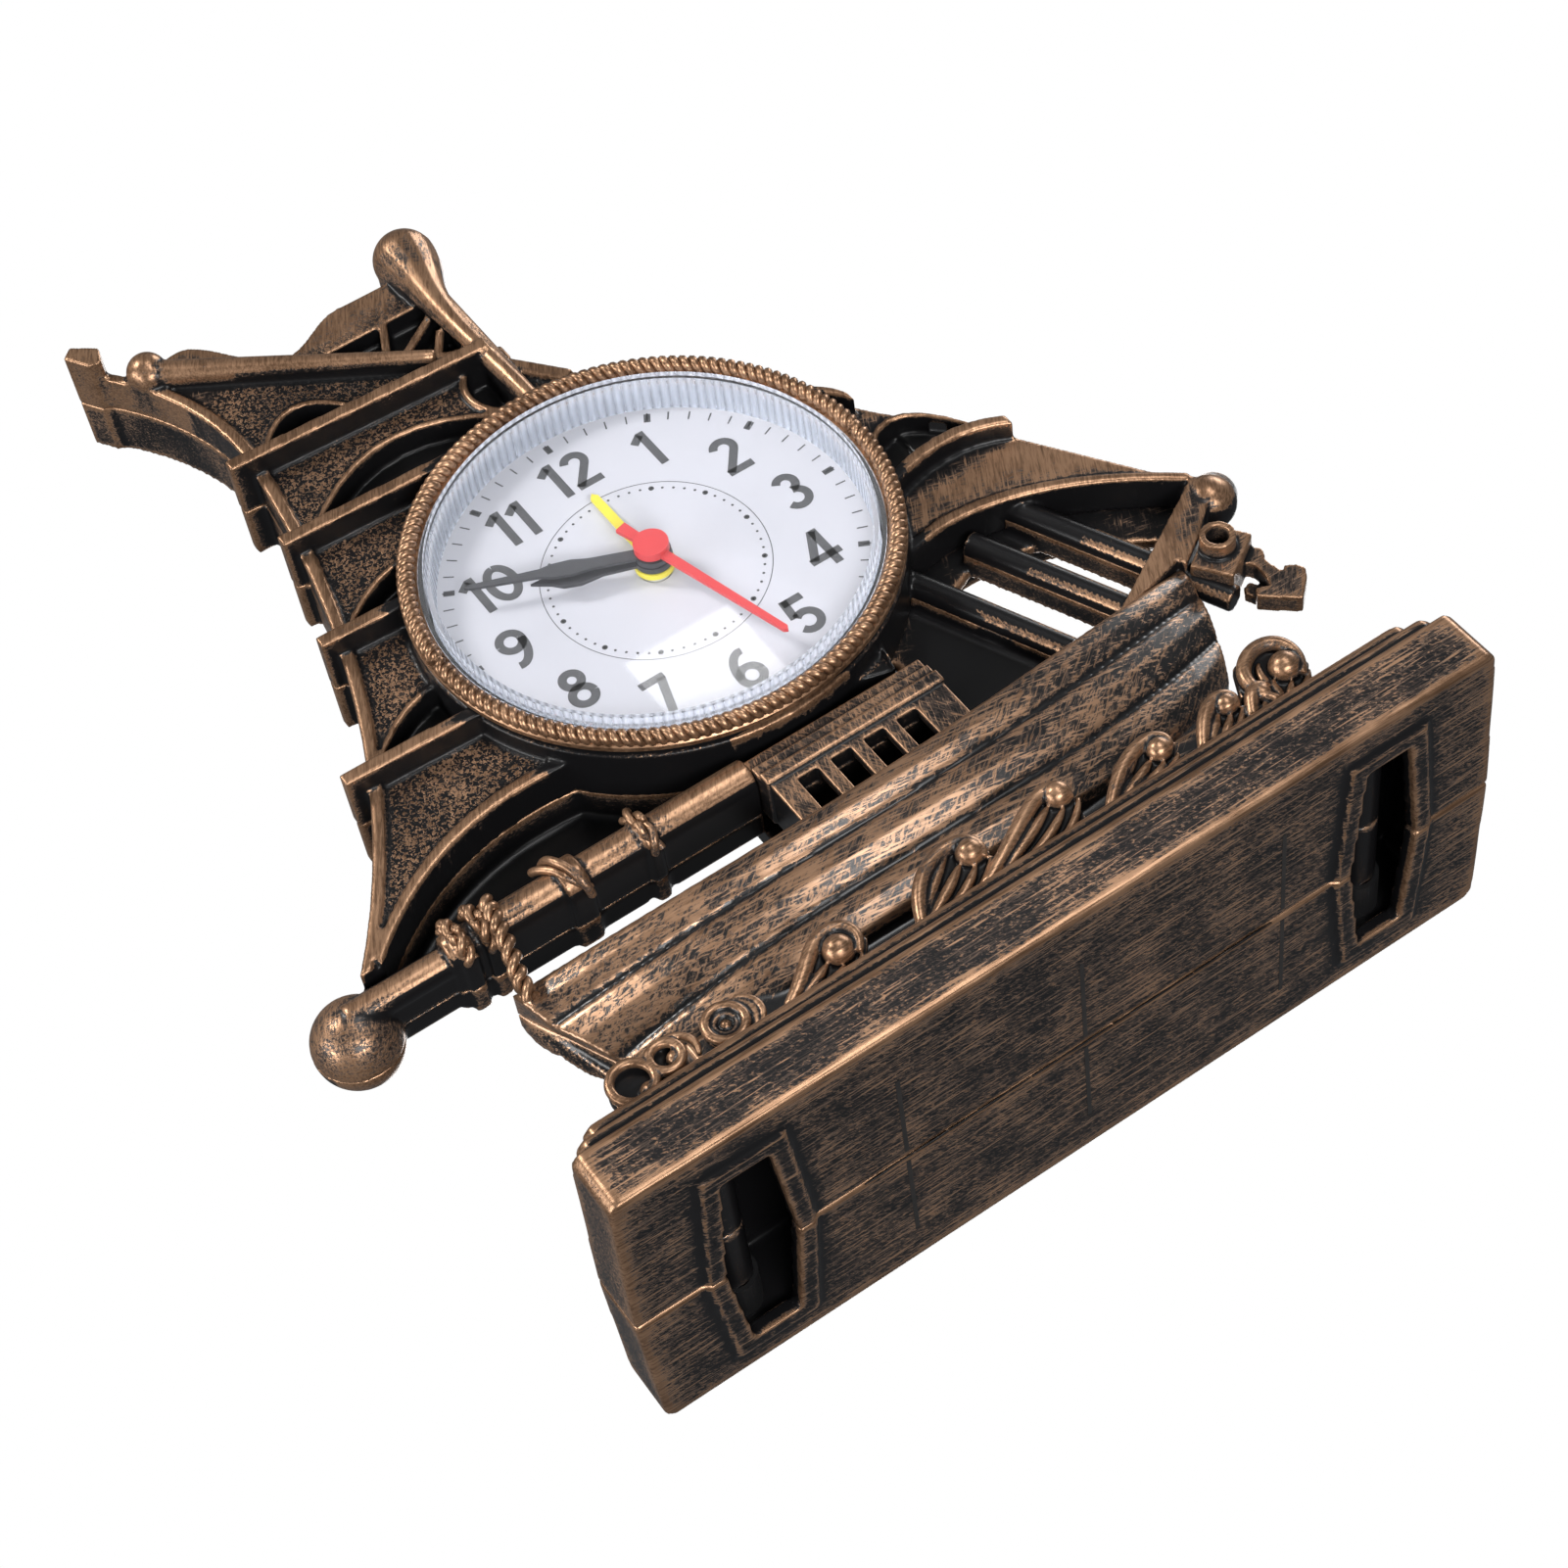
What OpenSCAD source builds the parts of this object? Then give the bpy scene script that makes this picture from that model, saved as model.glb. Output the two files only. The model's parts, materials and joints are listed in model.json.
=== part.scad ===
// Mantel clock in the form of a sailing ship on a moulded plinth, with a quartz alarm movement.
// X runs to the right seen from the front, Y to the back, Z up; the clock stands on z = 0.
// The pieces are drawn with the parting plane at y = 0, the dial centre at x = 0 and the underside at z = 0,
// and moved into place at the end.

/* [Case] */
// Depth of the plinth in front of the parting plane
front_depth = 33.4; // [28:0.1:38]
// Depth of the plinth behind the parting plane
rear_depth = 30; // [24:0.1:34]
// Wall of the moulded case halves
wall = 2; // [1.6:0.1:2.4]
// Height of the dial centre above the table
dial_z = 118; // [116:0.5:121]

/* [Plinth] */
// Length of the plinth at its front and back edges
plinth_l = 161; // [150:0.5:170]
// Sideways place of the plinth's middle
plinth_x = 1.6; // [-1:0.1:4]
// Height of the tall bottom tier
foot_h = 11; // [9:0.5:13]
// Height of each of the two beads above it
bead_h = 3; // [2:0.25:4]
// Set-back of the middle bead
bead_in = 2; // [1:0.25:3]
// Set-back of the top bead
cap_in = 4.5; // [3.5:0.25:6]
// Bulge of the plinth's ends at the parting line
draft = 1; // [0:0.1:1.5]
// Distance of each underside window from the plinth's middle
window_x = 59.3; // [54:0.1:64]
// Length of a window, front to back
window_l = 45; // [38:0.5:48]
// Width of a window at its two ends
window_end_w = 8.5; // [6:0.25:10]
// Width of a window at the parting line
window_mid_w = 13; // [11:0.25:15]
// Width of the frame round a window
window_rim = 3; // [2:0.25:4]
// Height that the frame stands proud of the underside
window_rim_h = 0.8; // [0.4:0.1:1.2]

/* [Hull] */
// Left end of the hull, at the rail
stern_x = -65; // [-67:0.5:-62]
// Right end of the hull, at the rail
bow_x = 70; // [67:0.5:71]
// Height of the rail at its lowest point
rail_z = 52.4; // [51:0.2:54]
// Height of the keel above the table
keel_z = 29; // [27:0.5:31]
// Rise of the rail at the bow
rail_rise = 10.5; // [8:0.5:12]
// Rise of the keel at the bow
keel_rise = 11; // [9:0.5:13]
// Depth of the hull in front of the parting plane, amidships
hull_d = 16.5; // [14:0.25:19]
// Depth of the hull at its two ends
hull_end_d = 6.5; // [5:0.25:8]
// Depth of the grooves between the strakes
groove = 1.3; // [0.8:0.1:1.8]
// Height of the deck inside the bulwark
deck_z = 49; // [47:0.5:50.5]

/* [Sail] */
// Distance of the sail's face in front of the parting plane
sail_y = 6.5; // [5.5:0.25:7.5]
// Distance of the battens' crests in front of the parting plane
batten_y = 11.5; // [10.5:0.25:12]
// Depth of the case behind the parting plane, above the plinth
back_y = 11; // [9:0.25:12]
// Width of a batten
batten_w = 2.6; // [2:0.1:3.2]
// Depth of the black crescent hollows in the sail
hollow_d = 4; // [2.5:0.25:4.5]
// Width of the raised rims along the sail's edges
rim_w = 2.4; // [1.8:0.1:3]
// Height of the raised rims
rim_h = 1; // [0.6:0.1:1.5]

/* [Spars] */
// Radius of the boom
boom_r = 3.3; // [2.8:0.1:3.6]
// Height of the boom's axis
boom_z = 70.8; // [70:0.1:71.6]
// Radius of the ball at the boom's left end
ball_r = 7.7; // [7:0.1:8.4]
// Radius of the ball at the sail's right corner
clew_r = 4.45; // [4:0.05:5]
// Radius of the mast
mast_r = 2; // [1.6:0.1:2.4]
// Radius of the knob on top of the mast
knob_r = 6.1; // [5.6:0.1:7]
// Radius of the gaff's ball end
gaff_r = 3.7; // [3.2:0.1:4.2]

/* [Deck] */
// Length of the cabin
cabin_l = 35; // [32:0.5:36]
// Gap between the cabin roof and the ring round the dial
cabin_clear = 2.1; // [1.5:0.1:3]
// Number of cabin windows
cabin_windows = 4; // [3:1:5]
// Width of a cabin window
cabin_window_w = 4; // [3:0.25:4.5]
// Width of the bars in the open bay
bar_w = 5; // [4:0.25:5.5]
// Radius of the hawse ring
hawse_r = 3.1; // [2.7:0.1:3.5]

/* [Scrolls] */
// Largest radius of a wave scroll
scroll_r = 5; // [4:0.1:5.6]
// Depth of the band of scrolls
scroll_d = 4; // [3:0.25:5]

/* [Dial] */
// Radius of the movement's cup
cup_r = 41; // [40:0.25:42]
// Wall of the cup
cup_wall = 1.6; // [1.2:0.1:2]
// Clearance between the cup and the case
cup_gap = 0.15; // [0.1:0.05:0.3]
// Distance of the dial's face in front of the parting plane
dial_y = 6.5; // [6.5:0.1:7]
// Thickness of the dial
dial_t = 0.6; // [0.4:0.1:0.8]
// Distance of the roped bezel's middle line outside the cup
bezel_out = 1.2; // [0.6:0.1:1.6]
// Radius of the rope on the bezel
rope_r = 1.55; // [1.3:0.05:1.8]
// Distance of the crystal's face in front of the dial
crystal_h = 8.6; // [8.2:0.1:9]
// Thickness of the crystal
crystal_t = 1; // [0.8:0.1:1.2]

/* [Hands] */
// Length of the minute hand
minute_l = 32.7; // [28:0.1:34]
// Length of the hour hand
hour_l = 21.5; // [18:0.1:24]
// Length of the second hand
second_l = 31.2; // [28:0.1:34]
// Length of the second hand's tail
second_tail = 7.3; // [5:0.1:9]
// Length of the alarm hand
alarm_l = 20.3; // [17:0.1:23]
// Angle of the minute hand, clockwise from twelve
minute_a = 294.4; // [0:0.1:360]
// Angle of the hour hand
hour_a = 292; // [0:0.1:360]
// Angle of the second hand
second_a = 165.3; // [0:0.1:360]
// Angle of the alarm hand
alarm_a = 359.4; // [0:0.1:360]
// Radius of the steel arbors
arbor_r = 0.5; // [0.4:0.05:0.6]
// Running clearance of the arbors and pipes
run = 0.06; // [0.03:0.01:0.09]
// Wall of the pipes that carry the hands
pipe_wall = 0.64; // [0.5:0.02:0.7]

/* [Gears] */
// Module of the train's wheels
train_m = 0.22; // [0.2:0.005:0.23]
// Teeth of the second and minute wheels
second_t = 60; // [60:1:60]
// Teeth of the third wheel
third_t = 64; // [64:1:64]
// Teeth of the small pinions
pinion_t = 8; // [8:1:8]
// Share of the tooth pitch that a tooth fills
tooth_fill = 0.38; // [0.3:0.01:0.42]

/* [Back] */
// Distance of the back cover's face behind the parting plane
cover_y = 18.2; // [17.6:0.1:19]
// Thickness of the back cover
cover_t = 2.2; // [2:0.1:2.6]
// Radius of the two setting knobs
knob_grip_r = 5.5; // [4.5:0.1:6]
// Height of the setting knobs
knob_h = 5; // [4:0.1:6]
// Travel of the alarm switch
switch_travel = 5; // [3:0.5:6]
// Radius of the battery
cell_r = 7.1; // [7:0.05:7.25]
// Length of the battery over its terminals
cell_l = 50.2; // [49.2:0.1:50.5]

/* [Screws] */
// Radius of the case screws' shanks
screw_r = 1.3; // [1.1:0.05:1.5]
// Radius of the case screws' heads
screw_head_r = 2.6; // [2.2:0.1:2.8]

/* [Hidden] */

bronze = [0.55, 0.40, 0.24];
black = [0.07, 0.07, 0.08];
big = 400;
cut = 0.5;

// Places that more than one piece uses
ball = [-88, 0, 69.9];
clew = [87.3, 0, 75.9];
plinth_top = foot_h + 2 * bead_h;
shift_x = -((ball[0] - ball_r) + (clew[0] + clew_r)) / 2;
shift_y = (front_depth - rear_depth) / 2;

// Curves
function bez(a, b, c, n) =
    [for (i = [0:n]) let (t = i / n) (1 - t) * (1 - t) * a + 2 * t * (1 - t) * b + t * t * c];
function ease(a, c, n) =
    [for (i = [0:n]) let (t = i / n) [a[0] + t * (c[0] - a[0]), a[1] + (c[1] - a[1]) * (1 - cos(180 * t)) / 2]];
function turned(pts) = [for (i = [len(pts) - 1:-1:0]) pts[i]];
function moved(pts, d) = [for (p = pts) p + d];
function band(pts, d) = concat(pts, turned(moved(pts, d)));
// The same outline without doubled points
function clean(pts) = [for (i = [0:len(pts) - 1]) if (norm(pts[i] - pts[(i + 1) % len(pts)]) > 0.01) pts[i]];

// Prism with its outline in the front view, from y = a (front) to y = b (back)
module slab(a, b) {
    translate([0, b, 0]) rotate([90, 0, 0]) linear_extrude(b - a) children();
}
// Prism with its outline in the plan view
module tier(z0, z1) {
    translate([0, 0, z0]) linear_extrude(z1 - z0) children();
}
// Round bar or bore along Y
module pin(x, z, r, a, b, f = 48) {
    translate([x, b, z]) rotate([90, 0, 0]) cylinder(r = r, h = b - a, $fn = f);
}
// Keeps what lies in front of the parting plane, or behind it
module front_half() {
    intersection() {
        children();
        translate([-big, -big, -big]) cube([2 * big, big, 2 * big]);
    }
}
module rear_half() {
    intersection() {
        children();
        translate([-big, 0, -big]) cube([2 * big, big, 2 * big]);
    }
}

// PLINTH

boss_r = screw_r + 1.9;
boss_z = foot_h * 0.72;
boss_x = [plinth_x - window_x - 2, plinth_x - 20, plinth_x + 20, plinth_x + window_x + 2];

// Plan of one plinth tier, set back by s
module plinth_plan(depth, s, sgn) {
    x = plinth_l / 2 - s;
    y = sgn * (depth - s);
    c = 1.4;
    translate([plinth_x, 0])
        polygon([[-x - draft, 0], [-x, y - sgn * c], [-x + c, y], [x - c, y], [x, y - sgn * c], [x + draft, 0]]);
}
// One bead with rounded edges, as three thin tiers
module bead(depth, s, z, sgn) {
    e = bead_h / 5;
    tier(z, z + bead_h) plinth_plan(depth, s + e, sgn);
    tier(z + e, z + bead_h - e) plinth_plan(depth, s, sgn);
}
// Plan of a hexagonal window half, grown by g
module window_plan(depth, g, sgn) {
    l = depth * window_l / (front_depth + rear_depth) + g;
    m = window_mid_w / 2 + g;
    e = window_end_w / 2 + g;
    polygon([[-m, 0], [-e, sgn * l], [e, sgn * l], [m, 0]]);
}
module plinth_half(depth, sgn) {
    roof = plinth_top - wall;
    difference() {
        union() {
            tier(0, foot_h) plinth_plan(depth, 0, sgn);
            bead(depth, bead_in, foot_h, sgn);
            bead(depth, cap_in, foot_h + bead_h, sgn);
            for (s = [-1, 1])
                translate([plinth_x + s * window_x, 0]) tier(-window_rim_h, wall) window_plan(depth, window_rim, sgn);
        }
        difference() {
            tier(wall, roof) plinth_plan(depth, cap_in + wall, sgn);
            for (x = boss_x) pin(x, boss_z, boss_r, -big, big);
            for (x = [plinth_x - 38, plinth_x, plinth_x + 38])
                translate([x - wall / 2, -big, 0]) cube([wall, 2 * big, plinth_top]);
        }
        for (s = [-1, 1])
            translate([plinth_x + s * window_x, 0]) tier(-window_rim_h - cut, wall + cut) window_plan(depth, 0, sgn);
        if (sgn < 0) for (x = boss_x) pin(x, boss_z, screw_r, -depth + 2 * wall + cap_in, cut);
        if (sgn > 0) for (x = boss_x) {
            pin(x, boss_z, screw_r + 0.2, -cut, depth + cut);
            pin(x, boss_z, screw_head_r + 0.3, depth / 2, depth + cut);
        }
    }
}
module plinth_front() color(bronze) plinth_half(front_depth, -1);
module plinth_rear() color(black) plinth_half(rear_depth, 1);

// HULL

stations = 26;
rail_low_x = -6;
rear_end_d = 4.8;
strakes = [0, 0.29, 0.67, 1];
function hull_s(x) = abs(x - (stern_x + bow_x) / 2) / ((bow_x - stern_x) / 2);
function rail(x) = rail_z + rail_rise * pow((x - rail_low_x) / (bow_x - rail_low_x), 2);
function keel(x) = keel_z + keel_rise * pow(max(0, (x - 20) / (bow_x - 20)), 2);
function hull_y(x, sgn) =
    let (tip = sgn < 0 ? hull_end_d : rear_end_d) tip + (hull_d - hull_end_d) * (1 - pow(hull_s(x), 2.4));
// How far the ends draw in below the rail, as a share of the height v
stern_draw = 13;
bow_draw = 7.5;
function draw_in(x, v) = x - (x < 0 ? -stern_draw : bow_draw) * pow(v, 1.6) * pow(hull_s(x), 3);
// One strake bulges between its two grooves
function bulge(v) =
    let (k = v < strakes[1] ? 0 : v < strakes[2] ? 1 : 2, t = (v - strakes[k]) / (strakes[k + 1] - strakes[k]))
    groove * pow(sin(180 * min(1, max(0, t))), 0.5) - 2.4 * v * v;
strake_v = [for (k = [0:2]) for (t = [0, 0.12, 0.5, 0.88]) strakes[k] + t * (strakes[k + 1] - strakes[k])];
hull_x = [for (i = [0:stations]) stern_x + (bow_x - stern_x) * i / stations];
// Loop round the hull at one station, from the parting plane round the front
function hull_ring(x, sgn) = concat(
    [[draw_in(x, 0), 0, rail(x)]],
    [for (v = strake_v) [draw_in(x, v), sgn * (hull_y(x, sgn) - groove + bulge(v)), rail(x) + v * (keel(x) - rail(x))]],
    [[draw_in(x, 1), sgn * (hull_y(x, sgn) - groove - 2.6), keel(x)], [draw_in(x, 1), 0, keel(x)]]);
// Skin through a row of loops with the same number of points
module loft(rings, flip) {
    n = len(rings[0]);
    m = len(rings);
    side = [for (i = [0:m - 2]) for (j = [0:n - 1])
        let (a = i * n + j, b = i * n + (j + 1) % n, c = a + n, d = b + n) each [[a, c, b], [b, c, d]]];
    ends = [for (j = [1:n - 2]) each [[0, j, j + 1], [(m - 1) * n, (m - 1) * n + j + 1, (m - 1) * n + j]]];
    faces = concat(side, ends);
    polyhedron(points = [for (r = rings) each r], faces = flip ? [for (f = faces) [f[0], f[2], f[1]]] : faces);
}
neck_l = 50;
neck_d = 11;
cabin_x = 5.4;
cabin_gap = 0.1;
cabin_d = 11.5;
// Strakes, with a neck down to the plinth and a well in the deck for the cabin
module hull_half(sgn) {
    difference() {
        union() {
            loft([for (x = hull_x) hull_ring(x, sgn)], sgn > 0);
            translate([-neck_l, sgn > 0 ? 0 : -neck_d, plinth_top]) cube([2 * neck_l, neck_d, keel_z - plinth_top + wall]);
        }
        if (sgn < 0) translate([cabin_x - cabin_l / 2 - cabin_gap, -cabin_d - cabin_gap, deck_z])
            cube([cabin_l + 2 * cabin_gap, cabin_d + big, big]);
        translate([-neck_l + wall, sgn > 0 ? -cut : wall - neck_d, plinth_top - cut])
            cube([2 * neck_l - 2 * wall, neck_d - wall + cut, keel_z - plinth_top]);
    }
}
module hull_front() color(bronze) hull_half(-1);
module hull_rear() color(black) hull_half(1);
// Front view of the hull, which the pieces above it stand on
module hull_view() {
    polygon(concat([for (x = hull_x) [x, rail(x)]], [[bow_x, keel_z], [stern_x, keel_z]]));
}

// SAIL

head_z = 188;
foot_l = bez([-78.9, 75.3], [-58, 95.9], [-29.2, 90], 14);
foot_r = concat(bez([19.5, 74], [21.5, 92], [44, 94], 8), bez([44, 94], [63, 94], [83.6, 75.5], 10));
edge_low = bez([-83, 75.3], [-49.5, 116.4], [-44, head_z], 16);
edge_top = bez([-44, head_z], [-43.9, 207.6], [-57, 224], 8);
edge_right = concat(bez([13.8, 168.1], [36, 152], [45.9, 134.6], 8), [[47.9, 128.8]],
    bez([47.9, 128.8], [53.8, 119.6], [61.5, 112.5], 4), [[65.1, 109.2], [65.6, 104.7]]);
pennant = concat(ease([-41, 220.5], [-25.5, 205.6], 8), ease([-25.5, 205.6], [-12, 210.9], 6));
mast_x = 3.6;
knob_c = [4.9, 214.7];
socket_r = cup_r + cup_gap + 2.5;

// Outline of the sails, the pennant and the ring round the dial
module sail_view() {
    polygon(clean(concat(edge_low, edge_top, [[-50.5, 219]], pennant,
        [[mast_x, 210.5], [mast_x, 183.4], [7.2, 182.6], [7.2, 179], [6.3, 178]], edge_right, [[81.4, 79.4]], turned(foot_r), turned(foot_l))));
    translate([0, dial_z]) circle(r = socket_r, $fn = 96);
}
// Battens: left end, right end
battens = [[[-48.5, 183.4], [mast_x, 180.3]], [[-49.6, 161.4], [-12, 159.6]], [[-55.5, 136.8], [-34, 135.6]],
    [[-66.7, 108.3], [-38, 107]]];
batten_right = bez([38, 106], [54, 114], [65.8, 106.5], 8);
batten_top = bez([36, 138], [45, 135.2], [47.6, 128.8], 6);
module batten_view(b) {
    polygon([b[0] - [0, batten_w / 2], b[1] - [0, batten_w / 2], b[1] + [0, batten_w / 2], b[0] + [0, batten_w / 2]]);
}
// Arched hollow: left foot, crown, right foot
hollows = [[[-41, 184.5], [-31, 200], [-21, 184]], [[-43, 162.5], [-20, 186], [3, 161]],
    [[-50, 138], [-32, 157], [-14, 137]], [[-60, 109.5], [-42, 129.5], [-24, 108.5]]];
hollow_right = bez([40, 110], [51, 131], [62, 109.5], 8);
function hollow_arc(h) = bez(h[0], h[1], h[2], 10);
scoop_c = [mast_x + 0.6, 174];
scoop_r = 8;
// Dark triangle under the pennant
truss = [[-24, 201.5], [mast_x - mast_r, 201.5], [mast_x - mast_r, 186.5], [-8, 190]];

module hollows_view() {
    for (h = hollows) polygon(hollow_arc(h));
    polygon(concat(hollow_right, [[54, 111.5]]));
    intersection() {
        translate(scoop_c) circle(r = scoop_r, $fn = 40);
        translate([-30, 163]) square([30 + mast_x, 18]);
    }
    polygon(truss);
}
module rims_view() {
    for (h = hollows) polygon(band(hollow_arc(h), [0, rim_w / 2]));
    polygon(band(hollow_right, [0, rim_w / 2]));
    polygon(band(foot_l, [0, rim_w]));
    polygon(band(foot_r, [0, rim_w]));
    polygon(band(edge_low, [rim_w, 0]));
    polygon(band(edge_top, [rim_w, 0]));
    polygon([[13.8, 168.1], [6.3, 178], [6.3 - rim_w, 176.2], [13.8 - rim_w, 166.3]]);
    intersection() {
        translate(scoop_c) difference() {
            circle(r = scoop_r + rim_w / 2, $fn = 40);
            circle(r = scoop_r, $fn = 40);
        }
        translate([-30, 166]) square([30 + mast_x, 14]);
    }
}
neck_z = 198;
struts = [[[-11.1, 193], [-7.1, 202]], [[-10.1, 190.5], [1.5, 198.3]], [[-3.5, 187.5], [0.5, 193.5]]];
module strut_view(s) {
    d = (s[1] - s[0]) / norm(s[1] - s[0]);
    n = [-d[1], d[0]] * 0.8;
    polygon([s[0] - n, s[1] - n, s[1] + n, s[0] + n]);
}

// Tapered round bar between two points
module bar(p, r0, q, r1, f = 32) {
    d = q - p;
    translate(p) rotate([0, acos(d[2] / norm(d)), atan2(d[1], d[0])]) cylinder(r1 = r0, r2 = r1, h = norm(d), $fn = f);
}
// A spar moulded in one with the shell: a round front on a straight web that runs back to y = b
module spar(a, r0, c, r1, front, b) {
    n = [a[1] - c[1], c[0] - a[0]] / norm(c - a) * 0.94;
    bar([a[0], r0 - front, a[1]], r0, [c[0], r1 - front, c[1]], r1);
    slab(max(r0, r1) - front, b) polygon([a - n * r0, c - n * r1, c + n * r1, a + n * r0]);
}
// A ball on the end of a spar, carried back on a round web
module ball_end(p, r, front, b) {
    translate([p[0], r - front, p[1]]) sphere(r = r, $fn = 48);
    pin(p[0], p[1], 0.94 * r, r - front, b, 40);
}
gaff_a = [-48, 216.6];
gaff_c = [-4.8, 184.9];
lashings = [[-67.3, 2.6], [-63, 2.4], [-46.5, 4.2], [-32.5, 2.4]];
boom_end = cabin_x - cabin_l / 2 - cabin_gap;
thin_x = -70;
boom_back = 5;
module boom(a, b) {
    y0 = sail_y;
    slab(a < 0 ? -y0 : a, b) translate([thin_x, boom_z - boom_r]) square([boom_end - thin_x, 2 * boom_r]);
    slab(a < 0 ? -y0 : a, b > 0 ? b - 1 : b)
        translate([ball[0], boom_z - 0.8 * boom_r]) square([thin_x - ball[0], 1.6 * boom_r]);
    if (a < 0) {
        translate([thin_x, -y0, boom_z]) rotate([0, 90, 0]) cylinder(r = boom_r, h = boom_end - thin_x, $fn = 40);
        translate([ball[0], -y0 + 1, boom_z - 0.3]) rotate([0, 90, 0])
            cylinder(r = 0.8 * boom_r, h = thin_x - ball[0], $fn = 40);
    }
    for (l = lashings) {
        slab(a < 0 ? -y0 : a, b > 0 ? b + 1 : b)
            translate([l[0] - l[1] / 2, boom_z - boom_r - 1]) square([l[1], 2 * boom_r + 2]);
        if (a < 0) translate([l[0] - l[1] / 2, -y0, boom_z]) rotate([0, 90, 0])
            cylinder(r = boom_r + 1, h = l[1], $fn = 40);
    }
}
// Triangular bow piece between the rail and the clew ball
bow_piece = [[56, 56], [56, 60.5], [82.5, 76], [86, 73.5], [76, 65], [70, 61], [66, 57]];
module bow_view() {
    difference() {
        polygon(bow_piece);
        hull_view();
    }
}
head_block = [[-59.8, 227.3], [-57.6, 229.2], [-53.3, 225.7], [-54.6, 221.8], [-57, 222.6]];

module sail_front() color(bronze) difference() {
    union() {
        difference() {
            slab(-sail_y, 0) sail_view();
            slab(-sail_y - cut, -sail_y + hollow_d) hollows_view();
            // The inside is a pocket that keeps one wall round every hollow
            slab(-sail_y + wall, cut) difference() {
                offset(delta = -wall) sail_view();
                offset(delta = wall / 2) hollows_view();
                translate([0, dial_z]) circle(r = socket_r, $fn = 96);
                translate([-8, 184]) square([24, 46]);
            }
        }
        slab(-sail_y - rim_h, -sail_y + cut) rims_view();
        for (b = battens) slab(-batten_y, 0) batten_view(b);
        slab(-batten_y + 1, 0) {
            polygon(band(batten_right, [0, -batten_w]));
            polygon(band(batten_top, [0, -batten_w]));
        }
        for (s = struts) slab(-sail_y, -sail_y + hollow_d + cut) strut_view(s);
        slab(-sail_y, 0) polygon(head_block);
        slab(-batten_y, -sail_y + cut) polygon(head_block);
        slab(flange_t - flange_y, 0) translate([0, dial_z]) circle(r = socket_r, $fn = 96);
        spar(gaff_a, 0.75 * gaff_r, gaff_c, 1.3, batten_y - 0.8, -2);
        ball_end(gaff_a, gaff_r, batten_y, -2);
        spar([mast_x, knob_c[1]], mast_r, [mast_x, 158], mast_r, batten_y - 1.2, -1);
        front_half() {
            ball_end(knob_c, knob_r, batten_y, 0);
            bar([knob_c[0], knob_r - batten_y, knob_c[1] - 2], 0.85 * knob_r, [mast_x, mast_r + 1.2 - batten_y, neck_z], 0.8 * mast_r);
            translate(ball) sphere(r = ball_r, $fn = 48);
            translate(clew) sphere(r = clew_r, $fn = 40);
        }
        boom(-1, 0);
        slab(-8, 0) bow_view();
    }
    translate([0, 0, dial_z]) pin(0, 0, cup_r + cup_gap, -big, cut, 96);
    // Seat of the cup's flange and the bezel
    translate([0, 0, dial_z]) pin(0, 0, socket_r - 0.9, -big, flange_t - flange_y, 96);
}

// Back panel of the ship: closes the recesses, with open windows between the bars of the bay
bar_feet = [[43.8, 66.6], [57.2, 66.6], [67.5, 68.7]];
bar_lean = [-11, 26];
bars = [for (f = bar_feet) [f + bar_lean * 0.95, f - bar_lean * 0.6]];
bay_windows = [[[38.6, 86], [46.6, 89.4], [58.4, 58], [49.5, 54]], [[53.6, 86.5], [58.8, 86], [68, 62], [63, 60]],
    [[68, 78], [74, 73.6], [70, 66.8]]];
panel_y = 6;
panel_foot = boom_z + 2.2;
bay_x = 22;
bay_t = 2;
module panel_view() {
    difference() {
        union() {
            sail_view();
            polygon(concat([[ball[0] + 3, panel_foot]], [[edge_low[0][0], 76]], foot_l,
                [[0, 100]], foot_r, [bow_piece[2], [70, 61], [boom_end, 50], [boom_end, panel_foot]]));
        }
        hull_view();
        bay_view();
    }
}
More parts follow.
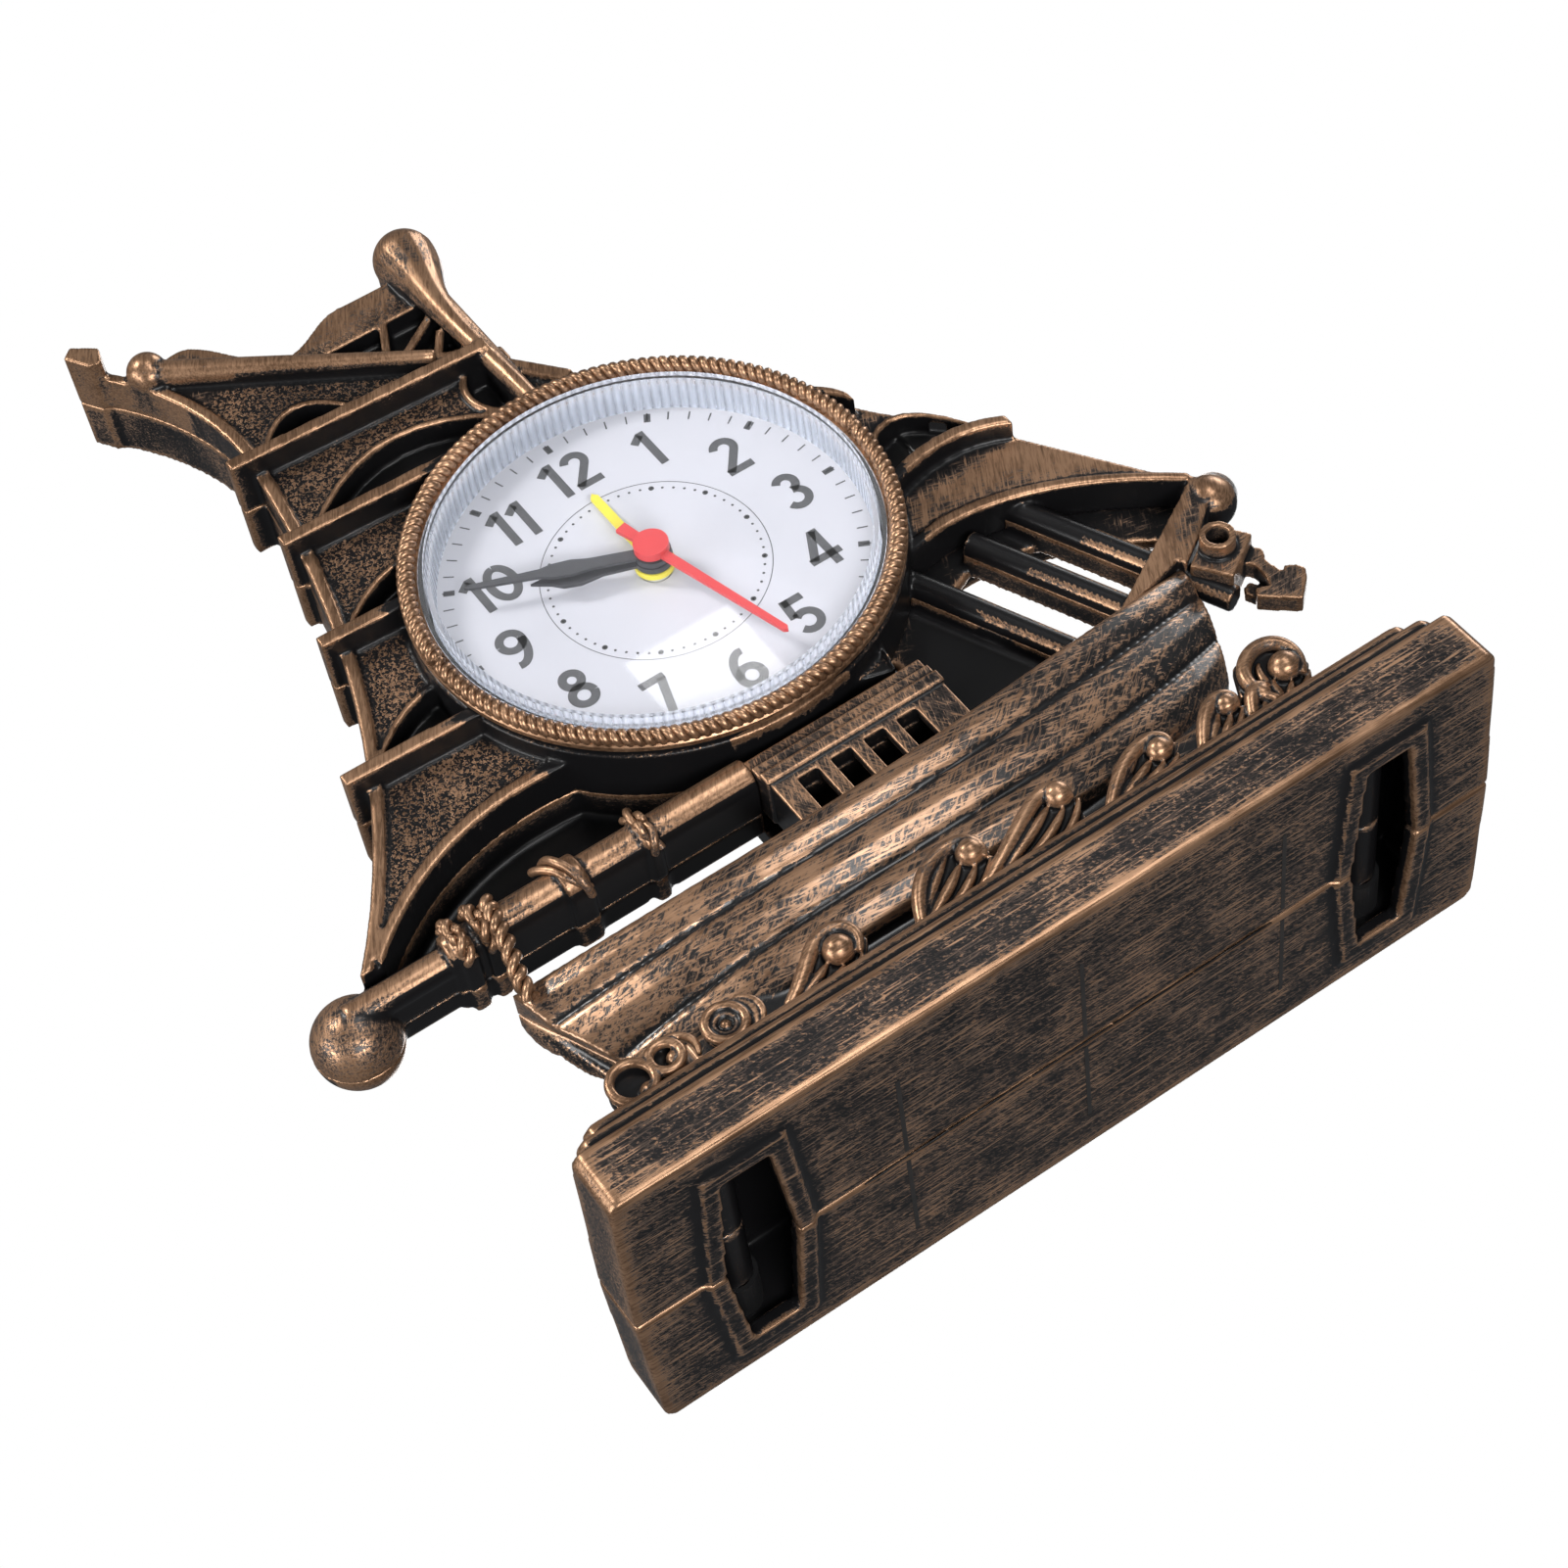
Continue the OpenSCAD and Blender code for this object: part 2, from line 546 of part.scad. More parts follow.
// The open bay under the right arch, closed by a thin panel at the parting plane
module bay_view() {
    difference() {
        polygon(concat([[bay_x, 76]], [for (q = foot_r) if (q[0] > bay_x) q], [bow_piece[2], bow_piece[1], [bay_x, 50]]));
        hull_view();
        polygon(bow_piece);
        translate([0, dial_z]) circle(r = socket_r, $fn = 96);
    }
}
module bar_view(b) {
    d = (b[1] - b[0]) / norm(b[1] - b[0]);
    n = [-d[1], d[0]] * bar_w / 2;
    polygon([b[0] - n, b[1] - n, b[1] + n, b[0] + n]);
}
module sail_rear() color(black) difference() {
    union() {
        slab(panel_y, back_y) panel_view();
        slab(0, bay_t) difference() {
            bay_view();
            for (w = bay_windows) polygon(w);
        }
        slab(0, back_y) difference() {
            translate([bay_x - wall, 50]) square([wall, 26]);
            hull_view();
        }
        slab(0, back_y) difference() {
            sail_view();
            offset(delta = -wall) sail_view();
        }
        slab(-3, bay_t) intersection() {
            for (b = bars) bar_view(b);
            bay_view();
        }
        slab(0, back_y) {
            for (b = battens) batten_view(b);
            polygon(band(batten_right, [0, -batten_w]));
            polygon(band(batten_top, [0, -batten_w]));
            polygon(head_block);
            bow_view();
            translate([0, dial_z]) circle(r = socket_r, $fn = 96);
        }
        rear_half() {
            translate(ball) sphere(r = ball_r, $fn = 48);
            translate(clew) sphere(r = clew_r, $fn = 40);
        }
        boom(0, boom_back);
        slab(0, back_y) translate([-80, panel_foot]) square([boom_end + 80, boom_z + boom_r - panel_foot]);
        for (x = sail_boss) pin(x[0], x[1], boss_r, 0, back_y);
        pin(knob_c[0], knob_c[1], 0.94 * knob_r, 0, 3);
    }
    translate([0, 0, dial_z]) pin(0, 0, cup_r + cup_gap, -cut, big, 96);
    for (x = sail_boss) {
        pin(x[0], x[1], screw_r + 0.2, -cut, big);
        pin(x[0], x[1], screw_head_r + 0.3, back_y - 2.5, big);
    }
}
sail_boss = [[-60, 95.5], [-38, 192.5], [60, 100]];

// CABIN

// Ridged roof in three planks over a wall with square windows
cabin_z = dial_z - socket_r - cabin_clear;
module cabin() color(bronze) {
    plank = 2.6;
    eave = cabin_z - 3 * plank;
    pitch = cabin_l / (cabin_windows + 1.4);
    difference() {
        translate([cabin_x, 0, 0]) union() {
            for (k = [0:2]) translate([-cabin_l / 2, -cabin_d + 3 - k * 1.2, cabin_z - (k + 1) * plank])
                cube([cabin_l, cabin_d - 3 + k * 1.2, plank]);
            translate([-cabin_l / 2 + 0.4, -cabin_d + 1.2, deck_z]) cube([cabin_l - 0.8, cabin_d - 1.2, eave - deck_z]);
        }
        for (k = [0:cabin_windows - 1])
            translate([cabin_x - cabin_l / 2 + pitch * (k + 0.7), -cabin_d - cut, rail_z - 1])
                cube([cabin_window_w, 5, eave - rail_z - 0.6]);
        translate([cabin_x - cabin_l / 2 + wall, -cabin_d + 1.2 + wall, deck_z - cut])
            cube([cabin_l - 2 * wall, cabin_d, eave - deck_z - wall + cut]);
    }
}

// SCROLLS

scroll_y = front_depth - cap_in - 5;
// Middle of each curl, its share of scroll_r, and the reach of the wave that runs up into it
scrolls = [[-63, 23.4, 0.95, 0], [-54.8, 23, 0.8, 0], [-44.6, 22.8, 0.95, 0], [-25.4, 23.4, 0.9, 9], [1.2, 25.6, 0.85, 15],
    [18.4, 24.8, 0.85, 13], [35.6, 24, 0.8, 12], [48.6, 24.2, 0.75, 8], [54.4, 20.6, 0.55, 3], [60.6, 25.2, 1, 2]];
curl_wall = 0.26;
// One wave: a rolled rim round a bead, on a leaf that sweeps up from the left
module wave(r, reach, drop) {
    slab(-scroll_d, 0) difference() {
        circle(r = r, $fn = 40);
        translate([-0.1 * r, -0.12 * r]) circle(r = r * (1 - curl_wall), $fn = 36);
    }
    slab(-scroll_d + 1.2, -0.2) circle(r = r * 0.9, $fn = 36);
    pin(0, 0, 0.4 * r, -scroll_d - 0.3, -0.4, 32);
    if (reach > 0) slab(-scroll_d + 0.7, -0.1)
        polygon(concat(bez([-r - reach, -drop], [-r * 0.6 - reach * 0.2, -drop + 1.5], [-r * 0.3, r * 0.93], 8),
            bez([-r * 0.2, -r * 0.6], [-r * 0.8, -drop + 0.4], [-r * 0.7 - reach * 0.6, -drop], 6)));
}
module wave_scrolls() color(bronze) translate([0, -scroll_y, 0]) {
    for (s = scrolls) translate([s[0], 0, s[1]]) wave(scroll_r * s[2], s[3], s[1] - plinth_top - 0.3);
    translate([-67, -scroll_d + 0.3, plinth_top]) cube([133, scroll_d - 0.6, 1.6]);
}

// BOW

hawse = [76.6, 61];
module bow_anchor() color(bronze) difference() {
    union() {
        slab(-hawse_y, 0) difference() {
            translate(hawse) rotate(33) translate([-5.5, -4.6]) square([10, 7.6]);
            hull_view();
            polygon(bow_piece);
        }
        pin(hawse[0], hawse[1], hawse_r, -hawse_y - 3, -hawse_y);
        slab(-5, -1.4) polygon([[82.7, 59.4], [83.8, 58.2], [83.4, 56.8], [82.6, 55.8], [83.3, 51.9], [84.3, 52.8],
            [86, 51.7], [86.7, 50.1], [85.8, 48.6], [82.3, 45.3], [81.6, 45.5], [76.4, 50.1], [77.4, 51.9],
            [79.7, 50.8], [80.3, 52.8], [80.5, 55.5], [80, 56.6], [78.5, 58]]);
        slab(-2, 0) polygon([[77.4, 55], [76.8, 53.8], [77.9, 51.5], [81, 48.5], [83, 50], [80.3, 53.2], [79, 55.6]]);
    }
    pin(hawse[0], hawse[1], hawse_r * 0.64, -hawse_y - 3 - cut, -hawse_y + 1.4);
}
hawse_y = 8;

// SCREWS

module screw(r, head_r, l, head_h) {
    rotate([-90, 0, 0]) difference() {
        union() {
            translate([0, 0, -l]) cylinder(r = r, h = l, $fn = 32);
            cylinder(r = head_r, h = head_h, $fn = 40);
        }
        for (a = [0, 90]) rotate(a) translate([-0.3, -head_r * 0.7, head_h - 0.6]) cube([0.6, head_r * 1.4, 1]);
    }
}
module case_screws() color("silver") {
    for (x = boss_x) translate([x, rear_depth / 2, boss_z]) screw(screw_r, screw_head_r, rear_depth / 2 + 8, 1.8);
    for (x = sail_boss) translate([x[0], back_y - 2.5, x[1]]) screw(screw_r, screw_head_r, back_y - 2.5, 1.8);
}

// DIAL, CRYSTAL AND CUP

// Turned ring about the dial's axis, from its profile: radius, distance in front of the parting plane
module turned_ring(f = 96) {
    translate([0, 0, dial_z]) rotate([90, 0, 0]) rotate_extrude($fn = f) children();
}
ledge_y = dial_y - dial_t;
ledge_t = 1.6;
ledge_w = 3.4;
flange_y = dial_y + 5.5;
flange_t = 1.5;
cup_in = cup_r - cup_wall;
bezel_r = cup_r + bezel_out;
dial_r = cup_in - 0.3;
crystal_r = dial_r - 0.1;
crystal_y = dial_y + crystal_h;

module bezel_ring() color(bronze) turned_ring() {
    difference() {
        union() {
            translate([bezel_r - 1.9, flange_y]) square([socket_r - 0.9 - (bezel_r - 1.9), 1.9]);
            translate([bezel_r, flange_y + 1.7]) circle(r = rope_r, $fn = 32);
        }
        translate([bezel_r - 4, flange_y - 4]) square([8, 4]);
    }
}
module crystal() color([0.85, 0.9, 0.95, 0.3]) turned_ring() {
    translate([0, crystal_y - crystal_t]) square([crystal_r, crystal_t]);
    translate([crystal_r - crystal_t, dial_y + 0.1]) square([crystal_t, crystal_h - 0.1]);
    translate([crystal_r - crystal_t, flange_y + 0.1]) square([crystal_t + 1.2, 1.2]);
}
alarm_bore = arbor_r + 4 * run + 3 * pipe_wall;
module dial() color("white") turned_ring() translate([alarm_bore + 0.5, ledge_y]) square([dial_r - alarm_bore - 0.5, dial_t]);
module movement_cup() color(black) difference() {
    turned_ring() {
        translate([cup_in, cover_t - cover_y]) square([cup_wall, flange_y + cover_y - cover_t]);
        translate([cup_in, flange_y - flange_t]) square([socket_r - 1.1 - cup_in, flange_t]);
        translate([cup_in - ledge_w, ledge_y - ledge_t]) square([ledge_w + 0.1, ledge_t]);
    }
    for (s = [-1, 1]) pin(s * ear_x, dial_z + ear_z, ear_screw_r, -ledge_y - cut, 0);
}
ear_x = cup_in - 3;
ear_z = 7;
ear_screw_r = 0.7;

// GEARS

// Trapezoid teeth; a tooth points to the angle a
module gear_view(t, m, a) {
    r = t * m / 2;
    step = 360 / t;
    w = step * tooth_fill / 2;
    polygon([for (i = [0:t - 1]) let (c = a + i * step) each [
        (r - 1.15 * m) * [cos(c - step / 2), sin(c - step / 2)], (r - 1.15 * m) * [cos(c - w * 1.5), sin(c - w * 1.5)],
        (r + 0.75 * m) * [cos(c - w * 0.45), sin(c - w * 0.45)], (r + 0.75 * m) * [cos(c + w * 0.45), sin(c + w * 0.45)],
        (r - 1.15 * m) * [cos(c + w * 1.5), sin(c + w * 1.5)]]]);
}
// Gear on an axis at p in the dial's plane, whose front face is at y = y0
module gear(p, t, m, a, y0, h, bore) {
    slab_at(p, y0, h) difference() {
        gear_view(t, m, a);
        circle(r = bore, $fn = 40);
    }
}
module slab_at(p, y0, h) translate([p[0], 0, p[1] + dial_z]) slab(y0, y0 + h) children();
module rod(p, r, a, b) pin(p[0], p[1] + dial_z, r, a, b);
module pipe(p, r0, r1, a, b) difference() {
    rod(p, r1, a, b);
    rod(p, r0, a - cut, b + cut);
}
function polar(r, a) = r * [cos(a), sin(a)];

// Directions of the arbors from the centre, and their places
third_dir = 60;
fifth_dir = -10;
motion_dir = 150;
alarm_dir = 90;
train_c = train_m * (third_t + pinion_t) / 2;
minute_m = 2 * train_c / (second_t + pinion_t);
fifth_p_t = 12;
fifth_w_t = 48;
fifth_p_m = 2 * train_c / (second_t + fifth_p_t);
rotor_m = 0.2;
rotor_c = rotor_m * (fifth_w_t + pinion_t) / 2;
cannon_t = 12;
motion_t = 36;
motion_p_t = 10;
hour_t = 40;
motion_m = 0.3;
motion_c = motion_m * (motion_t + cannon_t) / 2;
hour_m = 2 * motion_c / (hour_t + motion_p_t);
time_t = 24;
time_c = motion_m * (motion_t + time_t) / 2;
alarm_t = 60;
alarm_p_t = 40;
alarm_m = 0.3;
alarm_c = alarm_m * (alarm_t + alarm_p_t) / 2;
centre = [0, 0];
third_p = polar(train_c, third_dir);
fifth_p = polar(train_c, fifth_dir);
rotor_p = fifth_p + [rotor_c, 0];
motion_p = polar(motion_c, motion_dir);
time_p = polar(motion_c + time_c, motion_dir);
alarm_p = polar(alarm_c, alarm_dir);

// Levels of the wheels, as distances behind the parting plane
alarm_y = -5.5;
plate_f = [-4.3, -3.1];
hour_y = -2.8;
motion_y = -1.6;
minute_y = -0.3;
third_y = 1;
second_y = 2.3;
fifth_y = 3.6;
plate_r = [6.3, 7.5];
wheel_t = 0.8;
shoulder = 0.12;

// Pipes, each running on the one inside it
minute_in = arbor_r + run;
minute_out = minute_in + pipe_wall;
hour_in = minute_out + run;
hour_out = hour_in + pipe_wall;
alarm_in = hour_out + run;
alarm_out = alarm_in + pipe_wall;

// Arbor that turns in bores of the two plates
module arbor(p) rod(p, arbor_r, plate_f[0] + 0.4, plate_r[1] - 0.3);

module rotor() color("gray") {
    arbor(rotor_p);
    gear(rotor_p, pinion_t, rotor_m, 180 + 180 / pinion_t, fifth_y - shoulder, wheel_t + 2 * shoulder, arbor_r - 0.01);
    pipe(rotor_p, arbor_r - 0.01, 2.8, 0, 3);
}
module fifth_wheel() color("ivory") {
    arbor(fifth_p);
    gear(fifth_p, fifth_w_t, rotor_m, 0, fifth_y, wheel_t, arbor_r - 0.01);
    gear(fifth_p, fifth_p_t, fifth_p_m, fifth_dir + 180 + 180 / fifth_p_t, second_y - shoulder,
        fifth_y - second_y + shoulder + 0.05, arbor_r - 0.01);
}
hand_front = dial_y + 6.4;
module second_wheel() color("ivory") {
    rod(centre, arbor_r, -hand_front, plate_r[1] - 0.3);
    gear(centre, second_t, fifth_p_m, fifth_dir, second_y, wheel_t, arbor_r - 0.01);
    gear(centre, pinion_t, train_m, third_dir + 180 / pinion_t, third_y - shoulder,
        second_y - third_y + shoulder + 0.05, arbor_r - 0.01);
}
module third_wheel() color("ivory") {
    arbor(third_p);
    gear(third_p, third_t, train_m, third_dir + 180, third_y, wheel_t, arbor_r - 0.01);
    gear(third_p, pinion_t, minute_m, third_dir + 180 + 180 / pinion_t, minute_y - shoulder,
        third_y - minute_y + shoulder + 0.05, arbor_r - 0.01);
}
// Minute wheel and cannon pinion on the minute pipe
module minute_wheel() color("ivory") {
    pipe(centre, minute_in, minute_out, -dial_y - 5, minute_y + wheel_t);
    gear(centre, second_t, minute_m, third_dir, minute_y, wheel_t, minute_out - 0.01);
    gear(centre, cannon_t, motion_m, motion_dir, motion_y - shoulder, wheel_t + 2 * shoulder, minute_in + 0.15);
}
module motion_wheel() color("ivory") {
    gear(motion_p, motion_t, motion_m, motion_dir + 180 + 180 / motion_t, motion_y, wheel_t, arbor_r + run);
    gear(motion_p, motion_p_t, hour_m, motion_dir + 180 + 180 / motion_p_t, hour_y - shoulder,
        motion_y - hour_y + shoulder + 0.05, arbor_r + run);
}
module hour_wheel() color("ivory") {
    pipe(centre, hour_in, hour_out, -dial_y - 3.7, hour_y + wheel_t);
    gear(centre, hour_t, hour_m, motion_dir, hour_y, wheel_t, hour_out - 0.01);
}
module alarm_wheel() color("ivory") {
    pipe(centre, alarm_in, alarm_out, -dial_y - 2.4, alarm_y + wheel_t);
    gear(centre, alarm_t, alarm_m, alarm_dir, alarm_y, wheel_t, alarm_out - 0.01);
}
knob_shaft_r = 1.5;
module time_pinion() color("ivory") {
    rod(time_p, arbor_r, plate_f[0] + 0.4, motion_y);
    gear(time_p, time_t, motion_m, motion_dir + 180 + time_phase, motion_y, wheel_t, arbor_r - 0.01);
    rod(time_p, knob_shaft_r, motion_y + wheel_t - 0.05, cover_y + 0.6);
}
// The motion wheel has a tooth or a gap towards the setting pinion, and the pinion is turned to suit
motion_to_time = motion_dir - (motion_dir + 180 + 180 / motion_t);
time_phase = 180 / time_t + (360 / time_t) * (motion_to_time / (360 / motion_t));
module alarm_pinion() color("ivory") {
    gear(alarm_p, alarm_p_t, alarm_m, alarm_dir + 180 + 180 / alarm_p_t, alarm_y, wheel_t, knob_shaft_r - 0.01);
    rod(alarm_p, knob_shaft_r, alarm_y, cover_y + 0.6);
}
// Fluted grip on the end of a setting shaft
module setting_knob(p) slab_at(p, cover_y + 0.6, knob_h) union() {
    circle(r = knob_grip_r - 0.4, $fn = 48);
    for (a = [0:30:330]) rotate(a) translate([knob_grip_r - 0.7, 0]) circle(r = 0.7, $fn = 16);
}
module time_knob() color(black) setting_knob(time_p);
module alarm_knob() color(black) setting_knob(alarm_p);

// HANDS

// Draws along the angle a, clockwise from twelve, between y = -y0 - t and y = -y0
module along(a, y0, t) translate([0, 0, dial_z]) rotate([0, a, 0]) slab(-y0 - t, -y0) children();
module hub(r, y0, y1) rod(centre, r, -y1, -y0);
module second_hand() color("red") {
    y = dial_y + 5.3;
    difference() {
        union() {
            along(second_a, y, 0.8) {
                polygon([[-0.9, 0], [-0.55, second_l - 0.6], [0, second_l], [0.55, second_l - 0.6], [0.9, 0]]);
                polygon([[-0.8, 0], [-1.1, -second_tail], [1.1, -second_tail], [0.8, 0]]);
            }
            hub(3.1, y, y + 1.6);
        }
        hub(arbor_r, y - cut, y + 1.1);
    }
}
module minute_hand() color(black) {
    y = dial_y + 4;
    difference() {
        union() {
            along(minute_a, y, 0.6)
                polygon([[-1.1, 0], [-1.2, 11], [-1.7, 14], [-1.5, 17.5], [-0.9, 19.5], [-0.45, minute_l - 1], [0, minute_l],
                    [0.45, minute_l - 1], [0.9, 19.5], [1.5, 17.5], [1.7, 14], [1.2, 11], [1.1, 0]]);
            hub(3.3, y - 0.2, y + 0.9);
        }
        hub(minute_out, y - 1, y + 2);
    }
}
module hour_hand() color(black) {
    y = dial_y + 2.6;
    difference() {
        union() {
            along(hour_a, y, 0.6)
                polygon([[-1.3, 0], [-1.4, 9], [-2.4, 13], [-2.2, 16], [-1.1, 18], [0, hour_l], [1.1, 18], [2.2, 16],
                    [2.4, 13], [1.4, 9], [1.3, 0]]);
            hub(3.4, y - 0.2, y + 1);
        }
        hub(hour_out, y - 1, y + 2);
    }
}
module alarm_hand() color("gold") {
    y = dial_y + 1.3;
    difference() {
        union() {
            along(alarm_a, y, 0.6)
                polygon([[-0.9, 0], [-0.8, alarm_l - 1], [0, alarm_l], [0.8, alarm_l - 1], [0.9, 0]]);
            hub(3.6, y - 0.2, y + 0.9);
        }
        hub(alarm_out, y - 1, y + 2);
    }
}

// PLATES AND ELECTRICS

plate_x = 20;
plate_z = [-9.5, 22];
posts = [[-18, -7.7], [18, -7.7], [-18, 20.2], [18, 20.2]];
post_r = 1.5;
module plate_view() translate([-plate_x, plate_z[0]]) square([2 * plate_x, plate_z[1] - plate_z[0]]);
module bore(p, r, y) rod(p, r, y[0] - cut, y[1] + cut);
// The ears stop inside the round cup
ear_end = sqrt(pow(cup_in, 2) - pow(ear_z + 3, 2)) - 0.4;
module front_plate() color("dimgray") {
    difference() {
        union() {
            slab_at(centre, plate_f[0], plate_f[1] - plate_f[0]) {
                plate_view();
                for (s = [-1, 1]) translate([s > 0 ? plate_x - 1 : -ear_end, ear_z - 3]) square([ear_end - plate_x + 1, 6]);
            }
            for (p = posts) rod(p, post_r, plate_f[1] - 0.05, plate_r[0]);
            rod(motion_p, arbor_r, plate_f[1] - 0.05, motion_y + wheel_t + 0.1);
        }
        bore(centre, hour_out + run, plate_f);
        for (p = [third_p, fifth_p, rotor_p, time_p]) bore(p, arbor_r + run, plate_f);
        bore(alarm_p, knob_shaft_r + run, plate_f);
        for (s = [-1, 1]) bore([s * ear_x, ear_z], ear_screw_r, plate_f);
    }
}
module rear_plate() color("dimgray") difference() {
    slab_at(centre, plate_r[0], plate_r[1] - plate_r[0]) plate_view();
    for (p = [centre, third_p, fifth_p, rotor_p]) bore(p, arbor_r + run, plate_r);
    for (p = [time_p, alarm_p]) bore(p, knob_shaft_r + run, plate_r);
    for (p = posts) bore(p, 0.7, plate_r);
}
module plate_screws() color("silver") {
    for (p = posts) translate([p[0], plate_r[1], p[1] + dial_z]) screw(0.7, 1.5, plate_r[1] - plate_r[0], 0.8);
    for (s = [-1, 1]) translate([s * ear_x, plate_f[1], ear_z + dial_z]) screw(ear_screw_r, 1.5, plate_f[1] + ledge_y - 0.2, 0.8);
}
leg_x = 17.6;
leg_w = 2;
stator_y = [1, 2];
stator_bore = 3.2;
stator_top = 17.6;
// Stator sheet: the rotor turns in its round hole, and the coil sits on the right leg
module stator() color("silver") slab_at(centre, stator_y[0], stator_y[1] - stator_y[0]) difference() {
    polygon([[9.3, -5.6], [leg_x + leg_w / 2, -5.6], [leg_x + leg_w / 2, stator_top], [11.7, stator_top], [11.7, 3.2],
        [9.3, 1.6]]);
    translate(rotor_p) circle(r = stator_bore, $fn = 40);
    translate([13.2, 3]) square([leg_x - leg_w / 2 - 13.2, stator_top - 2.5 - 3]);
}
coil_r = 2.6;
coil_z = [3.2, 14.4];
module coil() color("peru") difference() {
    translate([leg_x, (stator_y[0] + stator_y[1]) / 2, dial_z + coil_z[0]]) union() {
        cylinder(r = coil_r, h = coil_z[1] - coil_z[0], $fn = 40);
        for (z = [0, coil_z[1] - coil_z[0] - 0.8]) translate([-coil_r - 0.2, -coil_r - 0.3, z])
            cube([2 * coil_r + 0.4, 2 * coil_r + 0.6, 0.8]);
    }
    slab_at(centre, stator_y[0], stator_y[1] - stator_y[0])
        translate([leg_x - leg_w / 2, coil_z[0] - cut]) square([leg_w, 20]);
}
board_t = 1.2;
module circuit_board() color("darkgreen") {
    difference() {
        slab_at(centre, plate_r[1], board_t) translate([4, -5.2]) square([16, 23]);
        bore(rotor_p, 0.8, [plate_r[1], plate_r[1] + board_t]);
        bore(fifth_p, 0.8, [plate_r[1], plate_r[1] + board_t]);
        bore(third_p, 0.8, [plate_r[1], plate_r[1] + board_t]);
    }
    rod([15, 2], 2.4, plate_r[1] + board_t, plate_r[1] + board_t + 1);
}
buzzer_p = [12, 10.6];
module buzzer() color(black) difference() {
    rod(buzzer_p, 6, plate_r[1] + board_t, plate_r[1] + board_t + 4.2);
    rod(buzzer_p, 1, plate_r[1] + board_t + 2, plate_r[1] + board_t + 5);
}

// BACK COVER AND BATTERY

cell_z = -19;
bay_l = cell_l + 2.6;
bay_w = 2 * cell_r + 1;
bay_wall = 1;
bay_floor = 1;
bay_back = cover_y - cover_t;
door_t = 1.4;
door_gap = 0.2;
door_l = bay_l + 2.4;
door_w = bay_w + 2.6;
switch_p = [17.4 - cup_in, cup_in - 19.4];
slot_w = 3.4;
grip_w = 4;
module movement_back_cover() color(black) difference() {
    union() {
        rod(centre, cup_r, bay_back, cover_y);
        pipe(centre, cup_in - 2, cup_in - 0.1, bay_back - 2, bay_back + cut);
        slab_at([0, cell_z], bay_floor, bay_back - bay_floor + cut)
            square([bay_l + 2 * bay_wall, bay_w + 2 * bay_wall], center = true);
        for (p = cover_screw_p) rod(p, 2.4, ledge_stop, bay_back + cut);
    }
    slab_at([0, cell_z], bay_floor + bay_wall, big) square([bay_l, bay_w], center = true);
    // Channel in which the battery door slides down and off
    slab_at(centre, cover_y - door_t - door_gap, big)
        translate([-door_l / 2 - door_gap, -cup_r - 1])
            square([door_l + 2 * door_gap, cup_r + 1 + cell_z + door_w / 2 + door_gap]);
    for (p = [time_p, alarm_p]) rod(p, knob_shaft_r + run, 0, big);
    slab_at(switch_p, 0, big) square([switch_travel + grip_w + 0.4, slot_w], center = true);
    for (p = cover_screw_p) {
        rod(p, 1, 0, big);
        rod(p, 2.1, cover_y - 1.2, big);
    }
}
ledge_stop = bay_back - 5;
cover_screw_r = cup_in - 6.4;
cover_screw_p = [[-cover_screw_r, 8], [cover_screw_r, 8], [-8, cover_screw_r]];
module cover_screws() color("silver")
    for (p = cover_screw_p) translate([p[0], cover_y - 1.2, p[1] + dial_z]) screw(1, 2, 6, 1);
module battery_door() color(black) {
    slab_at([0, cell_z], cover_y - door_t, door_t) square([door_l, door_w], center = true);
    for (k = [-1:1]) slab_at([0, cell_z - door_w / 2 + 3.4 + k * 1.4], cover_y - 0.05, 0.5) square([12, 0.7], center = true);
}
cell_y = bay_floor + bay_wall + cell_r + 0.15;
module battery() color("gray") translate([-cell_l / 2, cell_y, dial_z + cell_z]) rotate([0, 90, 0]) {
    cylinder(r = cell_r, h = cell_l - 1.2, $fn = 48);
    cylinder(r = 2.7, h = cell_l, $fn = 32);
}
contact_t = 0.3;
contact_down = 3;
contact_up = 5;
module contact_plus() color("silver") slab_at([bay_l / 2, cell_z], bay_floor + bay_wall + 0.5, 11) {
    translate([-contact_t, -contact_down]) square([contact_t, contact_down + contact_up]);
    translate([-(bay_l - cell_l) / 2 + 0.05, -2]) square([(bay_l - cell_l) / 2 - 0.05, 4]);
}
module contact_minus() color("silver") {
    slab_at([-bay_l / 2, cell_z], bay_floor + bay_wall + 0.5, 11)
        translate([0, -contact_down]) square([contact_t, contact_down + contact_up]);
    translate([-bay_l / 2 + contact_t, cell_y, dial_z + cell_z]) rotate([0, 90, 0])
        cylinder(r1 = 3.6, r2 = 1.6, h = (bay_l - cell_l) / 2 - contact_t - 0.05, $fn = 32);
}
module alarm_switch() color("silver") {
    slab_at(switch_p - [switch_travel / 2, 0], bay_back - 1.4, cover_t + 3) square([grip_w, slot_w - 0.4], center = true);
    slab_at(switch_p - [switch_travel / 2, 0], bay_back - 1.4, 1.3) square([grip_w + 3, slot_w + 3], center = true);
}

